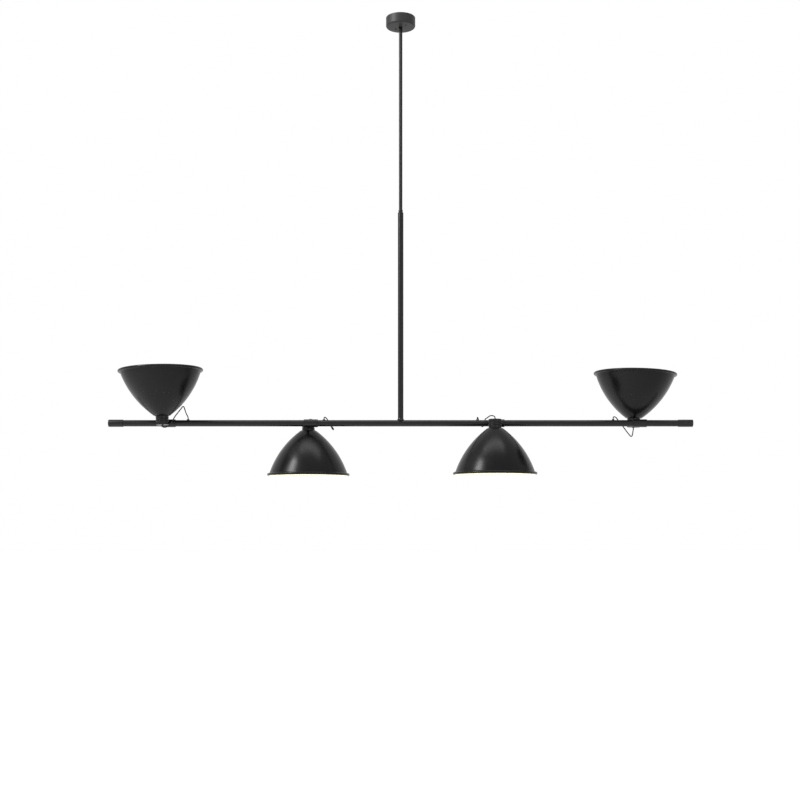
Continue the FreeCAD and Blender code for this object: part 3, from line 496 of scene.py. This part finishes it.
def lathe_tree():
    tree, given = new_tree("lathe", [
        ("Outline", "Geometry"), ("Steps", "Int"), ("Ripples", "Int"), ("Move", "Vector"),
        ("Turn", "Rotation"), ("Finish", "Material")])
    outline, steps = given["Outline"], Wire(tree, given["Steps"])
    size = node(tree, "GeometryNodeAttributeDomainSize", {"component": "MESH"}, {0: outline})
    rows = Wire(tree, size.outputs["Point Count"])
    grid = node(tree, "GeometryNodeMeshGrid", {}, {"Vertices X": steps + 1, "Vertices Y": rows})
    index = Wire(tree, node(tree, "GeometryNodeInputIndex").outputs[0])
    place = node(tree, "GeometryNodeInputPosition").outputs[0]
    read = node(tree, "GeometryNodeSampleIndex", {"data_type": "FLOAT_VECTOR", "domain": "POINT"},
                {"Geometry": outline, "Value": place, "Index": index % rows})
    parts = node(tree, "ShaderNodeSeparateXYZ", {}, {0: read.outputs[0]})
    radius, ripple, height = (Wire(tree, parts.outputs[i]) for i in range(3))
    angle = ((index + 0.5) / rows).floor() * (2 * math.pi) / steps
    rippled = radius + ripple * (angle * Wire(tree, given["Ripples"])).cos()
    point = node(tree, "ShaderNodeCombineXYZ", {},
                 {0: rippled * angle.cos(), 1: rippled * angle.sin(), 2: height})
    wrapped = node(tree, "GeometryNodeSetPosition", {},
                   {"Geometry": grid.outputs["Mesh"], "Position": point.outputs[0]})
    kept = node(tree, "GeometryNodeStoreNamedAttribute",
                {"data_type": "FLOAT_VECTOR", "domain": "POINT"},
                {"Geometry": wrapped.outputs[0], "Name": "local", "Value": place})
    closed = node(tree, "GeometryNodeMergeByDistance", {},
                  {"Geometry": kept.outputs[0], "Distance": 0.000002})
    moved = node(tree, "GeometryNodeTransform", {},
                 {"Geometry": closed.outputs[0], "Translation": given["Move"],
                  "Rotation": given["Turn"]})
    close_tree(tree, moved.outputs[0], given["Finish"])
    return tree


LATHE = lathe_tree()
print("lathe tree has", len(LATHE.nodes), "nodes")

# %% [markdown]
# A modifier's inputs are set by the socket's identifier. The result is copied into a plain
# mesh, the modifier goes, and the faces are turned to point outwards. Edges sharper than a
# chosen angle stay crisp, and the rest are shaded smooth.

# %% Running a tree
def run_tree(tree, base, values):
    """Runs a node tree on an object and gives back the plain mesh, with one material."""
    modifier = base.modifiers.new("made_by_nodes", "NODES")
    modifier.node_group = tree
    for socket in tree.interface.items_tree:
        if socket.in_out == "INPUT" and socket.name in values:
            modifier[socket.identifier] = values[socket.name]
    ready = base.evaluated_get(bpy.context.evaluated_depsgraph_get())
    mesh = bpy.data.meshes.new_from_object(ready)
    base.modifiers.remove(modifier)
    finish = mesh.materials[-1]
    mesh.materials.clear()
    mesh.materials.append(finish)
    for face in mesh.polygons:
        face.material_index = 0
    return mesh


def tidy_shell(mesh, crisp=32):
    """Outward faces, smooth shading, and crisp edges above an angle."""
    shell = bmesh.new()
    shell.from_mesh(mesh)
    bmesh.ops.dissolve_degenerate(shell, dist=1e-7, edges=shell.edges[:])
    bmesh.ops.recalc_face_normals(shell, faces=shell.faces[:])
    for face in shell.faces:
        face.smooth = True
    for edge in shell.edges:
        edge.smooth = not (len(edge.link_faces) == 2
                           and edge.calc_face_angle(0) > math.radians(crisp))
    shell.to_mesh(mesh)
    shell.free()
    return mesh


def rounded(corners, arc_steps=5):
    """An outline in millimetres. A corner with a third number is rounded to that radius."""
    points, count = [], len(corners)
    for i, corner in enumerate(corners):
        here = Vector(corner[:2])
        fillet = corner[2] if len(corner) > 2 else 0
        if not fillet or i in (0, count - 1):
            points.append(here)
            continue
        back = (Vector(corners[i - 1][:2]) - here).normalized()
        on = (Vector(corners[i + 1][:2]) - here).normalized()
        half = back.angle(on) / 2
        reach = fillet / math.tan(half)
        centre = here + (back + on).normalized() * (fillet / math.sin(half))
        first, last = here + back * reach - centre, here + on * reach - centre
        turn = first.angle_signed(last)
        for step in range(arc_steps + 1):
            share = turn * step / arc_steps
            spun = Vector((first.x * math.cos(share) + first.y * math.sin(share),
                           first.y * math.cos(share) - first.x * math.sin(share)))
            points.append(centre + spun)
    return points


def turn_mesh(outline, finish, place=Matrix.Identity(4), steps=96, ripples=0, deep=None, crisp=32):
    """A turned mesh. deep(radius, height) says how far a row ripples, in millimetres."""
    line = bpy.data.meshes.new("outline")
    rows = [(p.x * MM, (deep(p.x, p.y) if deep else 0) * MM, p.y * MM) for p in outline]
    line.from_pydata(rows, [(i, i + 1) for i in range(len(rows) - 1)], [])
    base = bpy.data.objects.new("outline", line)
    bpy.context.scene.collection.objects.link(base)
    mesh = run_tree(LATHE, base, {
        "Steps": steps, "Ripples": ripples, "Move": place.translation[:],
        "Turn": place.to_euler()[:], "Finish": finish})
    bpy.data.objects.remove(base)
    return tidy_shell(mesh, crisp)


def join_meshes(meshes):
    """Several closed shells of one piece, in one mesh."""
    whole = bmesh.new()
    for mesh in meshes:
        whole.from_mesh(mesh)
    joined = meshes[0].copy()
    whole.to_mesh(joined)
    whole.free()
    return joined


def show(name, mesh, body, nodes):
    """Puts a finished mesh in the scene as a piece that rides on a body."""
    made = bpy.data.objects.new(name, mesh)
    mesh.name = name
    bpy.context.scene.collection.objects.link(made)
    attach(made, body)
    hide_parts(*nodes)


print("lathe ready")

# %% [markdown]
# ## The ceiling cover
# The cover is a shallow cup with a soft lower edge. It is spun on the lathe as a closed loop:
# down the outside, across the floor to the rod's hole, and back up the inside.

# %% Ceiling cover
COVER_DEPTH = 33
cover = rounded([
    (49.2, 0), (50, -0.8), (50, -COVER_DEPTH, 5.5), (7.6, -COVER_DEPTH), (7, -32.4), (7, -31.5),
    (46, -31.5, 2),
    (48.5, -28.5), (48.5, 0), (49.2, 0)], 8)
show("cover_shell", turn_mesh(cover, COVER_BLACK, steps=128), "rose",
     ["canopy_cover"])
print("cover outline has", len(cover), "points")

# %% [markdown]
# ## The stem and the bar
# Rod, reducer, tube and bar are plain stock, so their look is in their ends: a small bead and
# a shoulder where the thin rod steps into the tube, and closed sleeves on the bar's ends.

# %% Stem
STAGE = -669
ROD_TOP, ROD_FOOT = -28.3, STAGE - 20
rod = rounded([(6, ROD_TOP), (6, ROD_FOOT), (4.6, ROD_FOOT), (4.6, ROD_TOP), (6, ROD_TOP)])
show("rod_look", turn_mesh(rod, TUBE_BLACK, steps=48), "stem_and_bar", ["stem_rod"])

step_down = rounded([
    (6.02, STAGE + 11), (7.4, STAGE + 11, 0.7), (7.4, STAGE + 4.6, 0.4), (6.75, STAGE + 3.8, 0.3),
    (7.4, STAGE + 2.8, 0.4), (9.5, STAGE + 1.1, 0.8), (9.5, STAGE), (7.95, STAGE),
    (7.95, STAGE - 22), (6.02, STAGE - 22), (6.02, STAGE + 11)])
show("reducer_look", turn_mesh(step_down, TUBE_BLACK, steps=64), "stem_and_bar",
     ["stem_reducer"])

TUBE_FOOT = -1371
tube = rounded([
    (9.2, STAGE), (9.5, STAGE - 0.3), (9.5, TUBE_FOOT), (8, TUBE_FOOT), (8, STAGE), (9.2, STAGE)])
show("tube_look", turn_mesh(tube, TUBE_BLACK, steps=64), "stem_and_bar",
     ["stem_tube"])
print("stem pieces made")

# %% Bar
BAR_RADIUS, BAR_BORE, BAR_END = 11, 9.5, 997
ON_BAR = BAR_RADIUS + 0.05
SLEEVE_START, SLEEVE_END, SLEEVE_RADIUS = 950, 1000, 12.55
bar = rounded([
    (BAR_RADIUS, -BAR_END), (BAR_RADIUS, BAR_END), (BAR_BORE, BAR_END), (BAR_BORE, -BAR_END),
    (BAR_RADIUS, -BAR_END)])
show("bar_look", turn_mesh(bar, TUBE_BLACK, BAR_PLACE, 80), "stem_and_bar",
     ["bar_tube"])

sleeve = rounded([
    (ON_BAR, SLEEVE_START), (12.2, SLEEVE_START), (SLEEVE_RADIUS, SLEEVE_START + 0.4),
    (SLEEVE_RADIUS, SLEEVE_END, 1.6), (0, SLEEVE_END), (0, BAR_END + 0.2),
    (ON_BAR, BAR_END + 0.2), (ON_BAR, SLEEVE_START)], 6)
for word, turn in (("right", 0), ("left", math.pi)):
    place = Matrix.Translation((0, 0, BAR_Z)) @ Matrix.Rotation(turn, 4, "Z") \
        @ Matrix.Rotation(math.pi / 2, 4, "Y")
    show("sleeve_look_" + word, turn_mesh(sleeve, TUBE_BLACK, place, 80), "stem_and_bar",
         ["end_sleeve_" + word])
print("bar and sleeves made")

# %% [markdown]
# ## Screws and grommets by instancing
# Equal fasteners are one shape in several places. A second tree sets a copy of one mesh on each
# point of a cloud, turned to a stored direction, and makes the copies real. The screw itself is
# turned on the lathe, and its six-lobed socket is a ripple on the rows inside it.

# %% The copying tree
def copies_tree():
    tree, given = new_tree(
        "copies", [("Places", "Geometry"), ("Piece", "Object"), ("Finish", "Material")])
    source = node(tree, "GeometryNodeObjectInfo", {}, {"Object": given["Piece"]})
    aim = node(
        tree, "GeometryNodeInputNamedAttribute", {"data_type": "FLOAT_VECTOR"}, {"Name": "aim"})
    turn = node(
        tree, "FunctionNodeAlignRotationToVector", {"axis": "Z"}, {"Vector": aim.outputs[0]})
    copies = node(tree, "GeometryNodeInstanceOnPoints", {}, {
        "Points": given["Places"], "Instance": source.outputs["Geometry"],
        "Rotation": turn.outputs[0]})
    close_tree(tree, copies.outputs[0], given["Finish"])
    return tree


COPIES = copies_tree()


def set_copies(mesh, spots, finish):
    """Copies of a mesh at each (point, direction), as one mesh."""
    cloud = bpy.data.meshes.new("places")
    cloud.from_pydata([Vector(point) for point, _ in spots], [], [])
    aims = cloud.attributes.new("aim", "FLOAT_VECTOR", "POINT")
    for item, (_, direction) in zip(aims.data, spots):
        item.vector = direction
    base, source = (bpy.data.objects.new(n, m) for n, m in (("places", cloud), ("one", mesh)))
    for made in (base, source):
        bpy.context.scene.collection.objects.link(made)
    result = run_tree(COPIES, base, {"Piece": source, "Finish": finish})
    for made in (base, source):
        bpy.data.objects.remove(made)
    return tidy_shell(result)


LOBES, LOBE_DEPTH = 6, 0.28


def lobed_socket(radius, height):
    """Rows inside the socket ripple. The head's own rows don't."""
    return LOBE_DEPTH if 0.5 < radius < 1.6 else 0


dome = rounded([
    (0, -8), (1.95, -8), (1.95, 0), (3.4, 0), (3.4, 0.7, 0.3), (2.7, 1.5, 0.5), (1.75, 1.8),
    (1.45, 1.7), (1.4, 0.7), (0, 0.6)])
DOME_SCREW = turn_mesh(dome, SCREW_STEEL, steps=48, ripples=LOBES, deep=lobed_socket)
grub = rounded([
    (0, -1.4), (1.98, -1.4), (1.98, 0, 0.25), (1.7, 0), (1.4, -0.1), (1.35, -1.0), (0, -1.1)])
GRUB_SCREW = turn_mesh(grub, SCREW_STEEL, steps=48, ripples=LOBES, deep=lobed_socket)

SCREW_CIRCLE, SCREW_ANGLE = 24 * MM, math.radians(137)
cover_spots = [((s * SCREW_CIRCLE * math.cos(SCREW_ANGLE), s * SCREW_CIRCLE * math.sin(SCREW_ANGLE),
                 -COVER_DEPTH * MM), (0, 0, -1)) for s in (1, -1)]
show("cover_screws", set_copies(DOME_SCREW, cover_spots, SCREW_STEEL), "rose",
     ["canopy_screws"])
SLEEVE_GRUB_X = SLEEVE_START + 12
sleeve_spots = [((s * SLEEVE_GRUB_X * MM, 0, BAR_Z - (SLEEVE_RADIUS - 0.05) * MM), (0, 0, -1))
                for s in (1, -1)]
show("sleeve_grubs", set_copies(GRUB_SCREW, sleeve_spots, SCREW_STEEL), "stem_and_bar",
     ["sleeve_screws"])

bush = rounded([(1.85, 8.5), (5, 8.5), (5, 11.8, 0.5), (2.9, 14.2, 0.3), (1.85, 14.2), (1.85, 8.5)])
BUSH = turn_mesh(bush, MOULDING, steps=48)
bush_spots = [((lamp_x(n) + LEAD_ROUTES[n][-1][0] * MM, 0, BAR_Z), (0, 0, 1)) for n in LAMPS]
show("grommet_bushes", set_copies(BUSH, bush_spots, MOULDING), "stem_and_bar",
     ["bar_grommets"])
print("fasteners:", len(cover_spots) + len(sleeve_spots), "grommets:", len(bush_spots))

# %% [markdown]
# ## Collars
# The collar is a sleeve that turns on the bar, with a short round pad that carries the head's
# pivot bolt. Two turned shells make it: the sleeve with bevelled ends, and the pad, whose foot
# flares into the sleeve as a cast fillet does.

# %% Collars
COLLAR_SHIFT, COLLAR_HALF, COLLAR_RADIUS = 12, 24, 13.5
collar_sleeve = rounded([
    (ON_BAR, -COLLAR_HALF), (12.6, -COLLAR_HALF), (COLLAR_RADIUS, -23.2, 0.5),
    (COLLAR_RADIUS, 23.2, 0.5), (12.6, COLLAR_HALF), (ON_BAR, COLLAR_HALF), (ON_BAR, -COLLAR_HALF)])
collar_pad = rounded([
    (0, 11.6), (9.6, 11.6), (8.2, 13.6, 3), (7, 15.5, 3), (7, 21.5, 0.5), (3.6, 21.5), (3.6, 13),
    (0, 13)])
for name in LAMPS:
    centre = Matrix.Translation((lamp_x(name) + COLLAR_SHIFT * MM, 0, BAR_Z))
    mesh = join_meshes([
        turn_mesh(collar_sleeve, FITTING_BLACK, centre @ Matrix.Rotation(math.pi / 2, 4, "Y"), 80),
        turn_mesh(collar_pad, FITTING_BLACK, pad_place(name), 64)])
    show("collar_look_" + name, mesh, "turner_" + name, ["collar_" + name])
    outward = Vector((0, -LAMPS[name][0], 0))
    spot = Vector((lamp_x(name) + (COLLAR_SHIFT + COLLAR_HALF / 2) * MM, 0, BAR_Z))
    spot += outward * (COLLAR_RADIUS - 0.05) * MM
    show("collar_grub_" + name, set_copies(GRUB_SCREW, [(spot, outward)], SCREW_STEEL),
         "turner_" + name, ["collar_screw_" + name])
print("collars made")

# %% [markdown]
# ## Heads
# A head is a stack of turned pieces on one axis: neck cup, gland, holder, ring, shade and bulb.
# The shade's side is one long arc, so its outline is worked out from that rule: the arc's
# radius, the crown corner and the mouth corner fix its centre. The wall turns over at the mouth
# into a rolled bead.

# %% Shade outline
CROWN, SEAT, MOUTH, MOUTH_Z, SWEEP = 26, 21, 135.5, 172, 301.8
WALL, BEAD, BEAD_X, BEAD_Z, HOLE = 1.2, 4.75, 137.75, 174, 17.25


def arc_centre(start, end, radius):
    """The centre on the left of the way from start to end."""
    run = end - start
    rise = math.sqrt(radius * radius - run.length_squared / 4)
    return (start + end) / 2 + Vector((-run.y, run.x)).normalized() * rise


ARC_CENTRE = arc_centre(Vector((CROWN, SEAT)), Vector((MOUTH, MOUTH_Z)), SWEEP)


def on_arc(radius, height):
    across = math.sqrt(radius ** 2 - (height - ARC_CENTRE.y) ** 2)
    return Vector((ARC_CENTRE.x + across, height))


def shade_outline():
    """Down the outside from crown to bead, round the bead, and back up the inside."""
    rise = MOUTH_Z - SEAT
    outside = [on_arc(SWEEP, SEAT + 0.9 + (rise - 4.2) * i / 40) for i in range(41)]
    inside = [on_arc(SWEEP - WALL, SEAT + WALL + 0.9 + (rise - 3.6) * i / 40) for i in range(41)]
    start = math.atan2(outside[-1].y - BEAD_Z, outside[-1].x - BEAD_X)
    end = math.atan2(inside[-1].y - BEAD_Z, inside[-1].x - BEAD_X)
    sweep = (end - start) % (2 * math.pi)
    bead = [Vector((BEAD_X + BEAD * math.cos(start + sweep * i / 22),
                    BEAD_Z + BEAD * math.sin(start + sweep * i / 22))) for i in range(23)]
    crown = [Vector((HOLE, SEAT)), Vector((24.6, SEAT))]
    under = [Vector((24, SEAT + WALL)), Vector((HOLE, SEAT + WALL)), Vector((HOLE, SEAT))]
    return crown + outside + bead + inside[::-1] + under


SHADE = shade_outline()
print("shade outline:", len(SHADE), "points, widest", round(max(p.x for p in SHADE), 2), "mm")

# %% Shades
def line_inside(mesh, place, finish):
    """Lines the faces inside the wall's middle that look at the axis or out of the mouth."""
    mesh.materials.append(finish)
    back = place.inverted()
    spin = back.to_3x3()
    lined = len(mesh.materials) - 1
    for face in mesh.polygons:
        spot, way = back @ face.center, spin @ face.normal
        height = spot.z / MM
        from_centre = (Vector((spot.xy.length / MM, height)) - ARC_CENTRE).length
        within = from_centre < SWEEP - WALL / 2 or height > BEAD_Z
        looks_in = spot.xy.dot(way.xy) < 0
        on_crown = way.z > 0.5 and height < SEAT + 2
        if within and (looks_in or on_crown) and height > SEAT + WALL / 2:
            face.material_index = lined


for name in LAMPS:
    place = head_place(name)
    mesh = turn_mesh(SHADE, SHADE_BLACK, place, 144, crisp=40)
    line_inside(mesh, place, LINING)
    show("spun_shade_" + name, mesh, "head_" + name, ["shade_" + name])
print("shades:", len(mesh.polygons), "faces each")

# %% [markdown]
# ### Neck, holder and bulb
# The neck cup has two turned grooves. Inside the shade the holder's barrel shows its thread,
# and a ribbed ring clamps the shade, so both ripple: the ring round its rim, and the barrel
# along its length. The bulb is an opal globe on a nickel screw cap.

# %% Head fittings
neck = rounded([
    (3.05, -10), (22, -10, 0.9), (22, 1.2, 0.4), (20.6, 1.7, 0.3), (20.6, 3.1, 0.3), (22, 3.6, 0.4),
    (22, 9.7, 0.4), (20.6, 10.2, 0.3), (20.6, 11.6, 0.3), (22, 12.1, 0.4), (22, 20.8, 0.4),
    (20, 21), (20, -8), (3.05, -8), (3.05, -10)], 4)
neck_pad = rounded([(0, 18), (7, 18), (7, 26.9, 0.5), (3.6, 26.9), (3.6, 24), (0, 24)])
gland = rounded([
    (1.85, -12.2), (2.7, -12.2, 0.25), (4.8, -10.8, 0.4), (4.8, -10), (3, -10), (3, 3), (1.85, 3),
    (1.85, -12.2)])
thread = [p for i in range(14) for p in ((17.2, 27 + i * 1.5), (16.7, 27.75 + i * 1.5))]
holder = rounded([
    (3.05, -8), (6.5, -8), (6.5, 9.5), (19, 9.5, 0.5), (19, 21), (17.2, 21), (17.2, 26.5), *thread,
    (17.2, 48.5), (17.2, 50, 0.6), (13.6, 50, 0.3), (13.6, 24), (0, 24), (0, 8.5), (3.05, 8.5),
    (3.05, -8)])
ring = rounded([
    (HOLE, 22.2), (22.6, 22.2), (22.6, 25.2, 0.6), (20.5, 26.2, 0.4), (HOLE, 26.2),
    (HOLE, 22.2)])
caps = [p for i in range(8) for p in ((13.1, 30.5 + i * 2.4), (12.5, 31.7 + i * 2.4))]
cap = rounded([(0, 24.3), (4.5, 24.3), (5, 25.5), (10.2, 27.3), (12.8, 29.4), *caps, (13.1, 50.6),
               (13.1, 51.4), (0, 51.4)])


GLOBE_RADIUS, GLOBE_Z, GLOBE_STEPS = 30, 100, 28


def globe_outline():
    """A flared neck that meets a round globe on a tangent."""
    flare, centre = Vector((14.5, 53)), Vector((0, GLOBE_Z))
    reach = flare - centre
    turn = math.atan2(reach.y, reach.x) + math.acos(GLOBE_RADIUS / reach.length)
    angles = (turn + (math.pi / 2 - turn) * i / GLOBE_STEPS for i in range(GLOBE_STEPS + 1))
    ball = [centre + Vector((math.cos(a), math.sin(a))) * GLOBE_RADIUS for a in angles]
    ball[-1].x = 0
    return [Vector((0, 51)), Vector((13.2, 51)), Vector((13.6, 51.6)), flare] + ball


GLOBE_LINE = globe_outline()


def ring_ribs(radius, height):
    return 0.35 if radius > 22 and 22.5 < height < 25.6 else 0


for name in LAMPS:
    place, body = head_place(name), "head_" + name
    towards_bar = place @ Matrix.Rotation(-math.pi / 2, 4, "X")
    shell = join_meshes([turn_mesh(neck, FITTING_BLACK, place, 96),
                         turn_mesh(neck_pad, FITTING_BLACK, towards_bar, 64)])
    show("neck_look_" + name, shell, body, ["neck_cup_" + name])
    show("gland_look_" + name, turn_mesh(gland, MOULDING, place, 48), body,
         ["cord_gland_" + name])
    show("holder_look_" + name, turn_mesh(holder, MOULDING, place, 72), body,
         ["lampholder_" + name])
    show("ring_look_" + name, turn_mesh(ring, MOULDING, place, 240, 30, ring_ribs), body,
         ["shade_ring_" + name])
    show("globe_look_" + name, turn_mesh(GLOBE_LINE, GLOBE, place, 72), body,
         ["bulb_" + name])
    show("cap_look_" + name, turn_mesh(cap, NICKEL, place, 64), body, ["bulb_" + name])
print("heads dressed")

# %% [markdown]
# ## The slack leads
# A lead is fixed to the bar at one end and to a head at the other, and two joints lie between
# them. Each lead is cut where it can be taken as riding on the collar: a long part between bar
# and collar, and a short part between collar and head. Rings of points are carried along the
# line without twisting, and closed at both ends.

# %% Leads
LEAD_RADIUS, SHORT_PART, LEAD_SIDES = 1.8 * MM, 36 * MM, 14


def cut_line(line, reach):
    """Cuts a line at a length from its start."""
    walked = 0
    for i, (a, b) in enumerate(zip(line, line[1:])):
        step = (b - a).length
        if walked + step >= reach:
            middle = a.lerp(b, (reach - walked) / step)
            return line[:i + 1] + [middle], [middle] + line[i + 1:]
        walked += step
    raise ValueError("the line is too short to cut")


def tube_mesh(name, line, radius, sides):
    """A closed tube along a line, with how far round and along each point lies."""
    walk = [p for i, p in enumerate(line) if i == 0 or (p - line[i - 1]).length > 1e-6]
    heading = (walk[1] - walk[0]).normalized()
    across = heading.orthogonal().normalized()
    points, weave, along = [], [], 0
    for i, here in enumerate(walk):
        before, after = walk[max(i - 1, 0)], walk[min(i + 1, len(walk) - 1)]
        turned = (after - before).normalized()
        across = heading.rotation_difference(turned) @ across
        across = (across - turned * across.dot(turned)).normalized()
        heading = turned
        upward = heading.cross(across)
        along += (here - before).length if i else 0
        for k in range(sides):
            a = 2 * math.pi * k / sides
            points.append(here + (across * math.cos(a) + upward * math.sin(a)) * radius)
            weave.append((k / sides, along, 0))
    rings = len(walk)
    faces = [(r * sides + k, r * sides + (k + 1) % sides, (r + 1) * sides + (k + 1) % sides,
              (r + 1) * sides + k) for r in range(rings - 1) for k in range(sides)]
    faces += [tuple(range(sides))[::-1], tuple((rings - 1) * sides + k for k in range(sides))]
    mesh = bpy.data.meshes.new(name)
    mesh.from_pydata(points, [], faces)
    for item, value in zip(mesh.attributes.new("weave", "FLOAT_VECTOR", "POINT").data, weave):
        item.vector = value
    mesh.materials.append(SHEATH)
    return tidy_shell(mesh, 60)


def lay_lead(name, part, line, bodies):
    title = "lead_%s_%s" % (part, name)
    made = bpy.data.objects.new(title, tube_mesh(title, line, LEAD_RADIUS, LEAD_SIDES))
    bpy.context.scene.collection.objects.link(made)
    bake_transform(made)
    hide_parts("lead_" + name)
    length_of(line)


for name, line in LEAD_LINES.items():
    short, long = cut_line(line, SHORT_PART)
    long.reverse()
    lay_lead(name, "long", long, ("stem_and_bar", "turner_" + name))
    lay_lead(name, "short", short[::-1], ("turner_" + name, "head_" + name))
    print("lead", name, "parts", round(length_of(long) / MM), round(length_of(short) / MM), "mm")

# %% [markdown]
# ## CAD pieces that stay
# What is already right in CAD keeps its mesh and gets a finish: the plate and the swivel inside
# the cover, the saddle, the nipple, the washers and the pivot bolts.

# %% Finishes on CAD nodes
STAYING = {
    "ceiling_plate": ZINC_STEEL, "terminal_block": TERMINAL_WHITE, "swivel_socket": ZINC_STEEL,
    "swivel_stem": ZINC_STEEL, "saddle_nipple": ZINC_STEEL, "stem_saddle": SADDLE_BLACK}
for name in LAMPS:
    STAYING["friction_washer_" + name] = FIBRE
    STAYING["pivot_bolt_" + name] = BLACK_STEEL
for name, finish in STAYING.items():
    kept = frame["nodes"][name]
    for place in kept.material_slots:
        place.material = finish
print("CAD nodes that stay:", len(STAYING))
